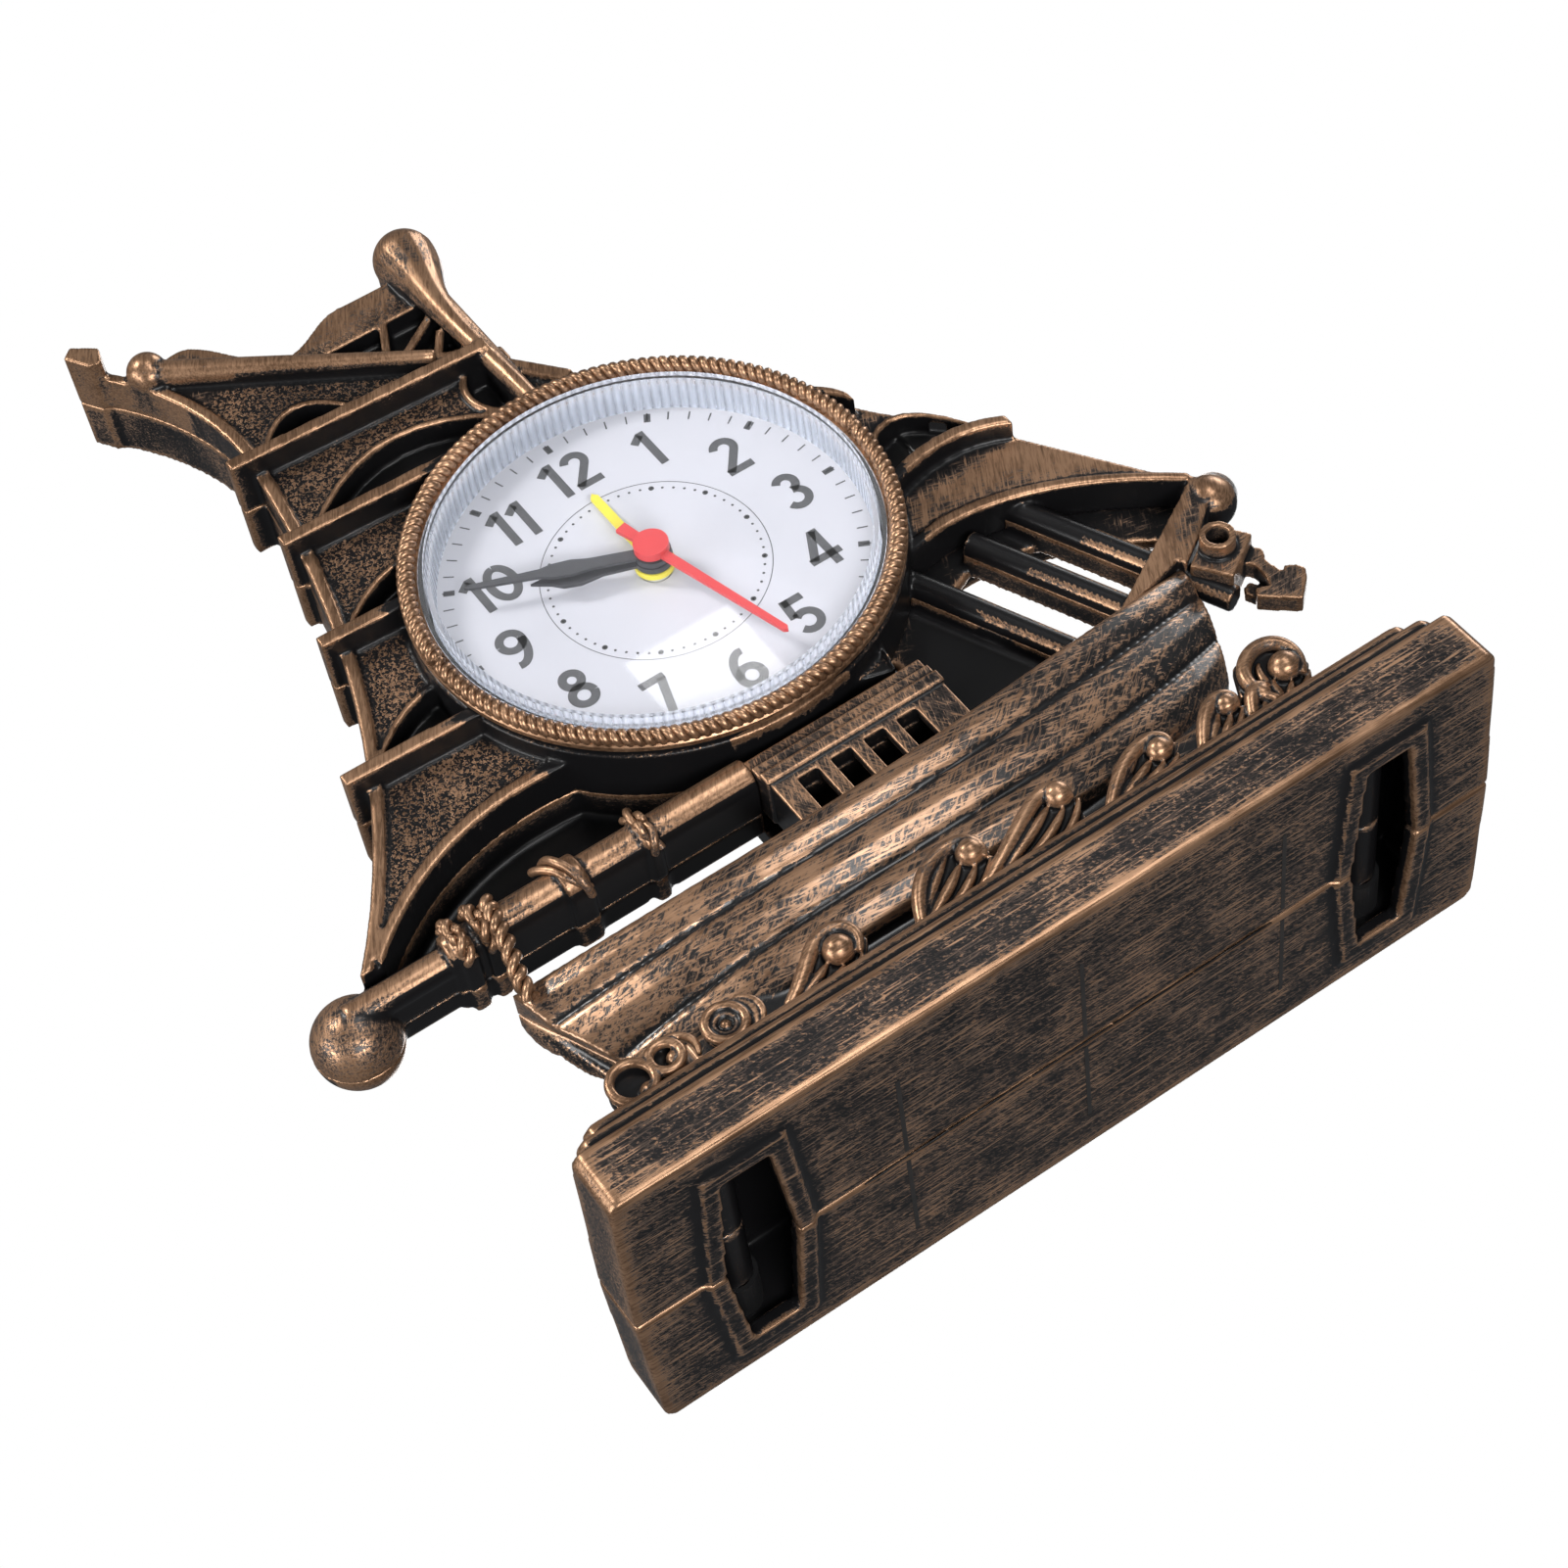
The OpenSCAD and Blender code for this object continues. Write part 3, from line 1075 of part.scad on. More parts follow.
// The clock stands on the frames round the underside windows
module place() translate([shift_x, shift_y, window_rim_h]) children();
place() plinth_front();
place() plinth_rear();
place() hull_front();
place() hull_rear();
place() sail_front();
place() sail_rear();
place() cabin();
place() wave_scrolls();
place() bow_anchor();
place() case_screws();
place() bezel_ring();
place() crystal();
place() dial();
place() movement_cup();
place() movement_back_cover();
place() cover_screws();
place() battery_door();
place() battery();
place() contact_plus();
place() contact_minus();
place() front_plate();
place() rear_plate();
place() plate_screws();
place() stator();
place() coil();
place() circuit_board();
place() buzzer();
place() rotor();
place() fifth_wheel();
place() second_wheel();
place() third_wheel();
place() minute_wheel();
place() motion_wheel();
place() hour_wheel();
place() alarm_wheel();
place() second_hand();
place() minute_hand();
place() hour_hand();
place() alarm_hand();
place() time_knob();
place() time_pinion();
place() alarm_knob();
place() alarm_pinion();
place() alarm_switch();
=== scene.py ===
import json
import math

import bmesh
import bpy
import numpy as np
from mathutils import Euler, Matrix, Vector


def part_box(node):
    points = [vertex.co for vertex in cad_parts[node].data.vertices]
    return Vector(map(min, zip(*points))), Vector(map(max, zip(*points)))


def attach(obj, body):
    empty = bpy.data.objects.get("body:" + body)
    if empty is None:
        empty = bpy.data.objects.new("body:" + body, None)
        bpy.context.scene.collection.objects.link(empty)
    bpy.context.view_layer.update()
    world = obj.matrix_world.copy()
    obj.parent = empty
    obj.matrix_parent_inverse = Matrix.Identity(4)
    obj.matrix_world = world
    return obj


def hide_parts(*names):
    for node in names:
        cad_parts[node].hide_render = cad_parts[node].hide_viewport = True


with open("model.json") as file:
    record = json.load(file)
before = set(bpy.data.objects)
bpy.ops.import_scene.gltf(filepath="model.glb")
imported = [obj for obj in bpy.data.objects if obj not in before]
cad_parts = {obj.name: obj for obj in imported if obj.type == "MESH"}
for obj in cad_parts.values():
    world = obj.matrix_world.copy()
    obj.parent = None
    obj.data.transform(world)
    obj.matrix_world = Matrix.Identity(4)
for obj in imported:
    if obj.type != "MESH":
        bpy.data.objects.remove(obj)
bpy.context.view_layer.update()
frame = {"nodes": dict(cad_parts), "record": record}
scene = bpy.context.scene
MM = 0.001

# The clock's own axes
# The drawing's zero is the dial's middle line across, the parting line of the two mouldings front to back,
# and the underside of the plinth. X runs right and Y back, so the front faces -Y.

dial_low, dial_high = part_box("dial")
front_low, front_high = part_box("plinth_front")
foot_rise = 0.8
origin = Vector(((dial_low.x + dial_high.x) / 2, front_high.y, front_low.z + foot_rise * MM))
dial_z = (dial_low.z + dial_high.z) / 2 / MM - origin.z / MM


def at(x, y, z):
    return origin + Vector((x, y, z)) * MM


# Camera
# It stands low at the front left and looks up at the underside, as in the photograph.

camera_data = bpy.data.cameras.new("camera")
camera_data.sensor_width = 36
camera_data.lens = 75.46
camera_data.clip_start = 0.05
camera = bpy.data.objects.new("camera", camera_data)
camera.location = at(-153.7, -426.4, -228.1)
camera.rotation_euler = Euler([math.radians(a) for a in (131.56, 33.716, 7.128)])
scene.collection.objects.link(camera)
scene.camera = camera

# Studio
# A white floor under the clock takes its shadow and fades into the white of the backdrop further out. It is
# seen from above only, and the lamps shine through it, so that the camera can look up past the table's edge.


def maths(tree, operation, a, b=None, c=None):
    node = tree.nodes.new("ShaderNodeMath")
    node.operation = operation
    for socket, value in zip(node.inputs, (a, b, c)):
        if value is None:
            continue
        if isinstance(value, (int, float)):
            socket.default_value = value
        else:
            tree.links.new(value, socket)
    return node.outputs[0]


def ramp(tree, value, low, high):
    """Goes softly from 0 to 1 as the value goes from low to high."""
    node = tree.nodes.new("ShaderNodeMapRange")
    node.interpolation_type = "SMOOTHSTEP"
    node.inputs["From Min"].default_value = low
    node.inputs["From Max"].default_value = high
    tree.links.new(value, node.inputs["Value"])
    return node.outputs["Result"]


def mix_shaders(tree, factor, first, second):
    node = tree.nodes.new("ShaderNodeMixShader")
    for socket, source in zip(node.inputs, (factor, first, second)):
        tree.links.new(source, socket)
    return node.outputs[0]


floor_half = 3
fade_from, fade_to = 0.22, 0.7
floor_finish = bpy.data.materials.new("floor")
floor_finish.use_nodes = True
tree = floor_finish.node_tree
tree.nodes.clear()
path = tree.nodes.new("ShaderNodeLightPath")
side = tree.nodes.new("ShaderNodeNewGeometry")
paper = tree.nodes.new("ShaderNodeBsdfDiffuse")
paper.inputs["Color"].default_value = (0.9, 0.9, 0.9, 1)
backdrop = tree.nodes.new("ShaderNodeEmission")
clear = tree.nodes.new("ShaderNodeBsdfTransparent")
distance = tree.nodes.new("ShaderNodeVectorMath")
distance.operation = "LENGTH"
tree.links.new(side.outputs["Position"], distance.inputs[0])
far_out = ramp(tree, distance.outputs["Value"], fade_from, fade_to)
faded = mix_shaders(tree, far_out, paper.outputs[0], backdrop.outputs[0])
from_above = maths(tree, "SUBTRACT", 1, side.outputs["Backfacing"])
seen = maths(tree, "MULTIPLY", path.outputs["Is Camera Ray"], from_above)
out = tree.nodes.new("ShaderNodeOutputMaterial")
tree.links.new(mix_shaders(tree, seen, clear.outputs[0], faded), out.inputs["Surface"])

mesh = bpy.data.meshes.new("floor")
mesh.from_pydata([(x * floor_half, y * floor_half, 0) for x, y in ((-1, -1), (1, -1), (1, 1), (-1, 1))], [],
                 [(0, 1, 2, 3)])
mesh.materials.append(floor_finish)
sheet = bpy.data.objects.new("floor", mesh)
scene.collection.objects.link(sheet)

# The camera sees white all round, also through the crystal. What the world adds as light is weaker, and
# weaker still where it is mirrored.
world = bpy.data.worlds.new("studio")
world.use_nodes = True
scene.world = world
tree = world.node_tree
tree.nodes.clear()
fill, less_mirrored = 0.42, -0.26
path = tree.nodes.new("ShaderNodeLightPath")
fill_light = tree.nodes.new("ShaderNodeBackground")
fill_light.inputs["Color"].default_value = (0.93, 0.96, 1, 1)
tree.links.new(maths(tree, "MULTIPLY_ADD", path.outputs["Is Glossy Ray"], less_mirrored, fill),
               fill_light.inputs["Strength"])
white = tree.nodes.new("ShaderNodeBackground")
white.inputs["Color"].default_value = (1, 1, 1, 1)
camera_or_glass = maths(tree, "MAXIMUM", path.outputs["Is Camera Ray"], path.outputs["Is Transmission Ray"])
out = tree.nodes.new("ShaderNodeOutputWorld")
surroundings = mix_shaders(tree, camera_or_glass, fill_light.outputs[0], white.outputs[0])
tree.links.new(surroundings, out.inputs["Surface"])


def lamp(name, place, aim, width, height, watts, colour=(1, 1, 1)):
    """An oblong lamp at a place in metres, aimed at another."""
    data = bpy.data.lights.new(name, "AREA")
    data.shape = "RECTANGLE"
    data.size = width
    data.size_y = height
    data.energy = watts
    data.color = colour
    light = bpy.data.objects.new(name, data)
    light.location = place
    light.rotation_euler = (Vector(aim) - Vector(place)).to_track_quat("-Z", "Y").to_euler()
    scene.collection.objects.link(light)
    return light


middle = at(0, 0, 110)
lamp("key", (-0.75, -1.15, 1.15), middle, 0.36, 0.36, 18, (1, 0.98, 0.95))
lamp("left", (-1.4, -0.4, 0.2), middle, 0.4, 1.0, 15)
lamp("right", (1.3, -0.3, 0.9), middle, 0.5, 0.8, 10)
lamp("low", (-0.2, -0.9, -1.0), middle, 0.8, 0.4, 19)
lamp("back", (0.6, 1.4, 0.9), middle, 1.0, 1.0, 15)

# A small softbox stands where the camera sees it mirrored in the lower half of the crystal. Its place follows
# from the camera, mirrored in the plane of the crystal's face.
crystal_face = -15.1
mirror_y = at(0, crystal_face, 0).y
mirrored_camera = Vector((camera.location.x, 2 * mirror_y - camera.location.y, camera.location.z))


def behind_glass(x, z, reach=2.9):
    """The place that the camera sees mirrored in the crystal's plane at (x, z) from the dial's middle."""
    return mirrored_camera + (at(x, crystal_face, dial_z + z) - mirrored_camera) * reach


softbox_low, softbox_high = behind_glass(-8, -48), behind_glass(-8, -21)
softbox_length = (softbox_high - softbox_low).length
softbox = lamp("softbox", (softbox_low + softbox_high) / 2, middle, 0.060, softbox_length, 0.045)
softbox.rotation_euler = (math.pi / 2, 0, 0)

# A larger one makes the glare on the planks of the hull, which lean forward a little. It is mirrored only and
# gives no diffuse light, so that the dial isn't overexposed.
hull_softbox = lamp("hull_softbox", at(200, -880, 93), at(-8, -15, 40), 0.22, 0.47, 3.2)
hull_softbox.visible_diffuse = False

scene.view_settings.view_transform = "Standard"

# Rubbed finish
# Every moulding of the case is black plastic. Bronze paint is rubbed over it with a nearly dry brush, so it
# stays on whatever stands proud and misses the hollows, and the brush leaves short hairy streaks.


def group_sockets(tree, ins, outs):
    for name, kind, value in ins:
        socket = tree.interface.new_socket(name, in_out="INPUT", socket_type=kind)
        if value is not None:
            socket.default_value = value
    for name, kind in outs:
        tree.interface.new_socket(name, in_out="OUTPUT", socket_type=kind)
    return tree.nodes.new("NodeGroupInput"), tree.nodes.new("NodeGroupOutput")


def noise(tree, vector, scale, detail, roughness, distortion=0.0):
    node = tree.nodes.new("ShaderNodeTexNoise")
    node.inputs["Scale"].default_value = scale
    node.inputs["Detail"].default_value = detail
    node.inputs["Roughness"].default_value = roughness
    node.inputs["Distortion"].default_value = distortion
    tree.links.new(vector, node.inputs["Vector"])
    return node.outputs["Fac"]


def mix_colour(tree, factor, a, b):
    node = tree.nodes.new("ShaderNodeMix")
    node.data_type = "RGBA"
    tree.links.new(factor, node.inputs["Factor"])
    for socket, value in ((node.inputs[6], a), (node.inputs[7], b)):
        if isinstance(value, tuple):
            socket.default_value = (*value, 1)
        else:
            tree.links.new(value, socket)
    return node.outputs[2]


def attribute(tree, name):
    node = tree.nodes.new("ShaderNodeAttribute")
    node.attribute_name = name
    return node.outputs["Fac"]


def blank_material(name):
    """A new material, its tree and its shader."""
    material = bpy.data.materials.new(name)
    material.use_nodes = True
    return material, material.node_tree, material.node_tree.nodes["Principled BSDF"]


rub = bpy.data.node_groups.new("dry brushed bronze", "ShaderNodeTree")
rub_in, rub_out = group_sockets(
    rub,
    [("Brushed", "NodeSocketVector", None), ("Crossed", "NodeSocketVector", None),
     ("Plain", "NodeSocketVector", None), ("Edge catch", "NodeSocketFloat", 0.5),
     ("Streaks", "NodeSocketFloat", 1.0), ("Pebble", "NodeSocketFloat", 0.0),
     ("Patches", "NodeSocketFloat", 1.15)],
    [("Paint", "NodeSocketFloat"), ("Colour", "NodeSocketColor"), ("Roughness", "NodeSocketFloat"),
     ("Height", "NodeSocketFloat")])
hair = noise(rub, rub_in.outputs["Brushed"], 1.0, 3, 0.62, 0.5)
crossing = noise(rub, rub_in.outputs["Crossed"], 1.0, 3, 0.62, 0.5)
patch = noise(rub, rub_in.outputs["Plain"], 85, 4, 0.62)
pebbles = noise(rub, rub_in.outputs["Plain"], 2000, 1, 0.5, 0.8)
pebble_cover = maths(rub, "MULTIPLY", attribute(rub, "pebbled"), rub_in.outputs["Pebble"])
pebble_top = ramp(rub, pebbles, 0.47, 0.60)
proud = maths(rub, "MULTIPLY", attribute(rub, "proud"), rub_in.outputs["Edge catch"])
level = maths(rub, "ADD", attribute(rub, "brushed"), proud)
level = maths(rub, "MULTIPLY_ADD", maths(rub, "SUBTRACT", patch, 0.5), rub_in.outputs["Patches"], level)
strokes = maths(rub, "SUBTRACT", maths(rub, "MAXIMUM", hair, crossing), 0.56)
strokes = maths(rub, "MULTIPLY", strokes, rub_in.outputs["Streaks"])
strokes = maths(rub, "MULTIPLY", strokes, maths(rub, "SUBTRACT", 1, pebble_cover))
dabs = maths(rub, "MULTIPLY", maths(rub, "SUBTRACT", pebble_top, 0.7), pebble_cover)
strokes = maths(rub, "MULTIPLY_ADD", dabs, 0.32, strokes)
laid_on = maths(rub, "MULTIPLY_ADD", maths(rub, "SUBTRACT", level, 0.5), 0.42, strokes)
film = ramp(rub, laid_on, -0.14, 0.05)
paint = ramp(rub, laid_on, -0.005, 0.05)
tone = maths(rub, "MULTIPLY_ADD", hair, 0.6, maths(rub, "MULTIPLY", patch, 0.4))
bronze = mix_colour(rub, ramp(rub, tone, 0.38, 0.62), (0.15, 0.083, 0.047), (0.37, 0.218, 0.130))
# Where the paint thins out, a dark grey-brown film shows on the black. Its colour is lightened so that it is
# also a painted sheen on the black.
film_and_painted_sheen = mix_colour(rub, film, (0.0055, 0.0053, 0.0058), (0.088, 0.060, 0.045))
colour = mix_colour(rub, paint, film_and_painted_sheen, bronze)
roughness = maths(rub, "MULTIPLY_ADD", paint, 0.02, 0.27)
roughness = maths(rub, "ADD", roughness, maths(rub, "MULTIPLY", patch, 0.1))
height = maths(rub, "MULTIPLY_ADD", paint, 0.5, maths(rub, "MULTIPLY", hair, 0.6))
height = maths(rub, "MULTIPLY_ADD", maths(rub, "MULTIPLY", pebble_top, pebble_cover), 1.6, height)
for name, value in (("Paint", paint), ("Colour", colour), ("Roughness", roughness), ("Height", height)):
    rub.links.new(value, rub_out.inputs[name])


def rubbed(name, stretch=(1, 1, 1), crossed=(1, 1, 1), grain=2800, edge_catch=0.5, streaks=1.0, pebble=0.0,
           turn=(0, 0, 0), cross_turn=(0, 0.7, 0), patches=1.15, lacquer=0.0):
    """Dry-brushed plastic. Its streaks are `stretch` times as long along each axis, others cross them."""
    material, tree, shader = blank_material(name)
    place = tree.nodes.new("ShaderNodeTexCoord").outputs["Object"]
    group = tree.nodes.new("ShaderNodeGroup")
    group.node_tree = rub
    tree.links.new(place, group.inputs["Plain"])
    for socket, way, lean in (("Brushed", stretch, turn), ("Crossed", crossed, cross_turn)):
        mapping = tree.nodes.new("ShaderNodeMapping")
        mapping.vector_type = "TEXTURE"
        mapping.inputs["Rotation"].default_value = lean
        mapping.inputs["Scale"].default_value = [s / grain for s in way]
        tree.links.new(place, mapping.inputs["Vector"])
        tree.links.new(mapping.outputs["Vector"], group.inputs[socket])
    amounts = (("Edge catch", edge_catch), ("Streaks", streaks), ("Pebble", pebble), ("Patches", patches))
    for socket, value in amounts:
        group.inputs[socket].default_value = value
    for socket, value in (("Specular IOR Level", 0.22), ("Coat Weight", lacquer), ("Coat Roughness", 0.22)):
        shader.inputs[socket].default_value = value
    bump = tree.nodes.new("ShaderNodeBump")
    bump.inputs["Strength"].default_value = 0.5
    bump.inputs["Distance"].default_value = 0.000035
    tree.links.new(group.outputs["Height"], bump.inputs["Height"])
    tree.links.new(group.outputs["Colour"], shader.inputs["Base Color"])
    tree.links.new(group.outputs["Roughness"], shader.inputs["Roughness"])
    tree.links.new(maths(tree, "MULTIPLY", group.outputs["Paint"], 0.75), shader.inputs["Metallic"])
    tree.links.new(bump.outputs["Normal"], shader.inputs["Normal"])
    return material


def plain_mesh(thing):
    """Replaces an object's modifiers by the mesh that they make."""
    depsgraph = bpy.context.evaluated_depsgraph_get()
    mesh = bpy.data.meshes.new_from_object(thing.evaluated_get(depsgraph))
    thing.modifiers.clear()
    thing.data = mesh
    return thing


def moulding(thing, voxel, smoothing=2):
    """Fuses a piece into one skin with the soft edges of a moulding."""
    remesh = thing.modifiers.new("skin", "REMESH")
    remesh.mode = "VOXEL"
    remesh.voxel_size = voxel * MM
    remesh.use_smooth_shade = True
    if smoothing:
        smooth = thing.modifiers.new("soft edges", "SMOOTH")
        smooth.factor = 0.5
        smooth.iterations = smoothing
    return plain_mesh(thing)


def thin_out(thing, ratio):
    """Leaves out the triangles that a flat or gently curved skin does without."""
    thing.modifiers.new("fewer", "DECIMATE").ratio = ratio
    return plain_mesh(thing)


def points_of(mesh):
    co = np.empty(len(mesh.vertices) * 3)
    mesh.vertices.foreach_get("co", co)
    return (co.reshape(-1, 3) - np.array(origin)) / MM


def normals_of(mesh):
    normal = np.empty(len(mesh.vertices) * 3)
    mesh.vertices.foreach_get("normal", normal)
    return normal.reshape(-1, 3)


def store(mesh, name, values):
    data = mesh.attributes.new(name, "FLOAT", "POINT")
    data.data.foreach_set("value", np.asarray(values, np.float32))


def brush(thing, cover, pebbled=None, fine=3, broad=26):
    """Stores where the brush touches: how proud each point stands, and how much of the paint it takes."""
    mesh = thing.data
    co, normal = points_of(mesh), normals_of(mesh)
    count = len(co)
    pairs = np.empty(len(mesh.edges) * 2, np.int64)
    mesh.edges.foreach_get("vertices", pairs)
    a, b = pairs[0::2], pairs[1::2]
    degree = (np.bincount(a, minlength=count) + np.bincount(b, minlength=count))[:, None]
    fine_scale, broad_scale, broad_share = 0.03 * fine, 0.45, 0.65
    soft = co.copy()
    proud = np.zeros(count)
    for step in range(1, broad + 1):
        around = [np.bincount(a, soft[b, k], count) + np.bincount(b, soft[a, k], count) for k in range(3)]
        soft = (soft + np.stack(around, 1) / np.maximum(degree, 1)) / 2
        if step == fine:
            proud += np.clip(((co - soft) * normal).sum(1) / fine_scale, -1, 1)
    proud += broad_share * np.clip(((co - soft) * normal).sum(1) / broad_scale, -1, 1)
    store(mesh, "proud", proud)
    store(mesh, "brushed", cover(co, normal) if callable(cover) else np.full(count, cover))
    store(mesh, "pebbled", np.zeros(count) if pebbled is None else pebbled(co, normal))


def copy_of(node, name):
    """A merged copy of a CAD node's mesh, as a new piece."""
    mesh = frame["nodes"][node].data.copy()
    mesh.name = name
    mesh.materials.clear()
    for old in list(mesh.color_attributes):
        mesh.color_attributes.remove(old)
    shape = bmesh.new()
    shape.from_mesh(mesh)
    bmesh.ops.remove_doubles(shape, verts=shape.verts, dist=0.002 * MM)
    shape.to_mesh(mesh)
    shape.free()
    thing = bpy.data.objects.new(name, mesh)
    scene.collection.objects.link(thing)
    return thing


def fill_inside(thing, floor_y):
    """Fills the hidden pocket behind the face that lies at floor_y, up to the parting plane."""
    shape = bmesh.new()
    shape.from_mesh(thing.data)
    shape.normal_update()
    floor = origin.y + floor_y * MM

    def lines_pocket(face):
        on_parting = abs(face.calc_center_median().y - origin.y) < 0.01 * MM and abs(face.normal.y) > 0.9
        return not on_parting and all(v.co.y > floor - 0.05 * MM for v in face.verts)

    grow = [f for f in shape.faces if abs(f.calc_center_median().y - floor) < 0.05 * MM and f.normal.y > 0.9]
    pocket = set(grow)
    while grow:
        around = {other for edge in grow.pop().edges for other in edge.link_faces}
        fresh = [face for face in around if face not in pocket and lines_pocket(face)]
        pocket.update(fresh)
        grow += fresh
    bmesh.ops.delete(shape, geom=list(pocket), context="FACES")
    rim = [edge for edge in shape.edges if edge.is_boundary]
    bmesh.ops.triangle_fill(shape, edges=rim, use_beauty=True)
    shape.to_mesh(thing.data)
    shape.free()
    return thing


def strand(name, path, radii, sides=10):
    """A tapering round strand through a few points, as a mesh."""
    curve = bpy.data.curves.new(name, "CURVE")
    curve.dimensions = "3D"
    curve.bevel_depth = 1 * MM
    curve.bevel_resolution = sides // 4
    curve.resolution_u = 8
    curve.use_fill_caps = True
    spline = curve.splines.new("NURBS")
    spline.points.add(len(path) - 1)
    for point, place, radius in zip(spline.points, path, radii):
        point.co = (*at(*place), 1)
        point.radius = radius
    spline.order_u = min(4, len(path))
    spline.use_endpoint_u = True
    thing = bpy.data.objects.new(name, curve)
    scene.collection.objects.link(thing)
    mesh = bpy.data.meshes.new_from_object(thing)
    bpy.data.objects.remove(thing)
    return mesh


def ball_mesh(name, centre, radius, rows=12):
    shape = bmesh.new()
    bmesh.ops.create_uvsphere(shape, u_segments=2 * rows, v_segments=rows, radius=radius * MM)
    bmesh.ops.translate(shape, vec=at(*centre), verts=shape.verts)
    mesh = bpy.data.meshes.new(name)
    shape.to_mesh(mesh)
    shape.free()
    return mesh


def slab_mesh(name, outline, front, back):
    """A flat web with the given outline in mm, as a mesh."""
    shape = bmesh.new()
    face = shape.faces.new([shape.verts.new(at(x, front, z)) for x, z in outline])
    rest = bmesh.ops.extrude_face_region(shape, geom=[face])["geom"]
    corners = [part for part in rest if isinstance(part, bmesh.types.BMVert)]
    bmesh.ops.translate(shape, vec=(0, (back - front) * MM, 0), verts=corners)
    bmesh.ops.triangulate(shape, faces=shape.faces)
    bmesh.ops.recalc_face_normals(shape, faces=shape.faces)
    mesh = bpy.data.meshes.new(name)
    shape.to_mesh(mesh)
    shape.free()
    return mesh


def joined(name, meshes):
    """One new object made of several meshes."""
    shape = bmesh.new()
    for mesh in meshes:
        shape.from_mesh(mesh)
    whole = bpy.data.meshes.new(name)
    shape.to_mesh(whole)
    shape.free()
    thing = bpy.data.objects.new(name, whole)
    scene.collection.objects.link(thing)
    return thing


def dress(thing, material):
    thing.data.materials.clear()
    thing.data.materials.append(material)


def finish(thing, material, body="case", nodes=()):
    """Gives a piece its material and the body it rides on, and hides the CAD nodes it replaces."""
    dress(thing, material)
    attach(thing, body)
    if nodes:
        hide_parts(*nodes)


# Plinth
# Two hollow mouldings with a stepped top, joined along the parting line. Coarse grain runs along their
# length, and flat frames that the brush leaves black stand round the two windows in the underside.

plinth_finish = rubbed("plinth_rub", stretch=(26, 1.2, 1.2), crossed=(9, 1, 1), edge_catch=0.8, streaks=1.2,
                       cross_turn=(0, 0.3, 0.4), patches=0.7)


def plinth_cover(co, normal):
    x, y, z = co.T
    end = np.abs(normal[:, 0]) > 0.8
    under = normal[:, 2] < -0.8
    frames = under & (z < -0.2)
    parting = under & (np.abs(y) < 1.6)
    hollow = (np.abs(x - 1.6) < 79.2) & (np.abs(y) < 27.4) & (z > 0.5) & (z < 15.4)
    cover = np.full(len(co), 0.34)
    cover[under] = 0.38
    cover[frames] = 0.0
    cover[parting] = 0.05
    cover[end] = 0.36
    cover[(y > 0) & ~under] = 0.30
    cover[hollow] = -0.8
    return cover


for half in ("front", "rear"):
    piece = moulding(copy_of(f"plinth_{half}", f"plinth_{half}_skin"), 0.55)
    brush(piece, plinth_cover, fine=2, broad=34)
    finish(thin_out(piece, 0.3), plinth_finish, nodes=[f"plinth_{half}"])

# The screws' wells are tubes that stand across the hollow
well_r, well_length, well_wall = 3.9, 13, 0.8
wells = []
for x in (-59.7, -18.4, 21.6, 62.9):
    shape = bmesh.new()
    bmesh.ops.create_cone(shape, cap_ends=False, segments=28, radius1=well_r * MM, radius2=well_r * MM,
                          depth=well_length * MM)
    bmesh.ops.rotate(shape, verts=shape.verts, matrix=Matrix.Rotation(math.pi / 2, 3, "X"))
    bmesh.ops.translate(shape, verts=shape.verts, vec=at(x, 22, 7.92))
    bmesh.ops.solidify(shape, geom=shape.faces[:], thickness=well_wall * MM)
    wells.append(bpy.data.meshes.new("well"))
    shape.to_mesh(wells[-1])
    shape.free()
well_finish, tree, shader = blank_material("well_black")
shader.inputs["Base Color"].default_value = (0.006, 0.006, 0.0065, 1)
shader.inputs["Roughness"].default_value = 0.5
finish(joined("screw_wells", wells), well_finish)

# Three faint lines cross the underside, where the mould was scored
line_finish, tree, shader = blank_material("scored_line")
worn = noise(tree, tree.nodes.new("ShaderNodeTexCoord").outputs["Object"], 260, 3, 0.6)
dark_grey = mix_colour(tree, worn, (0.006, 0.006, 0.006), (0.022, 0.018, 0.016))
tree.links.new(dark_grey, shader.inputs["Base Color"])
shader.inputs["Roughness"].default_value = 0.4
lines = [slab_mesh("line", [(x - 0.4, -0.05), (x + 0.4, -0.05), (x + 0.4, 0.3), (x - 0.4, 0.3)], low, high)
         for x in (-31, 2.5, 41) for low, high in ((-21, -1.5), (1.5, 21))]
finish(joined("scored_lines", lines), line_finish)

# Thin flash along the parting line, rubbed bright
dice = np.random.default_rng(5)
flash = [strand("flash", [(x + 2.2 * k, dice.uniform(-0.12, 0.12), -0.12) for k in range(8)],
                dice.uniform(0.08, 0.24, 8), 8) for x in np.arange(-39, 24, 15.6)]
finish(joined("parting_flash", flash), plinth_finish)

# Hull
# Three bulging strakes with a rail, moulded with the neck that stands on the plinth. The brush ran along the
# planks and then scratched across them.

hull_finish = rubbed("hull_rub", stretch=(13, 1, 1), crossed=(1, 1, 9), grain=2200, edge_catch=0.7,
                     streaks=1.5, turn=(0, 0.12, 0), cross_turn=(0, 0.9, 0), lacquer=0.35)


def hull_cover(co, normal):
    cover = np.where(co[:, 2] > 29.2, np.interp(co[:, 0], (-80, 0, 60), (0.50, 0.55, 0.22)), -0.3)
    return np.where(co[:, 1] > 1, 0.2, cover)


for half in ("front", "rear"):
    piece = moulding(copy_of(f"hull_{half}", f"hull_{half}_skin"), 0.45)
    brush(piece, hull_cover, fine=4, broad=34)
    finish(thin_out(piece, 0.3), hull_finish, nodes=[f"hull_{half}"])

# Cabin
# A small deck house of its own, glued into the well in the deck. Its front takes the brush, the rest of it
# hardly does.

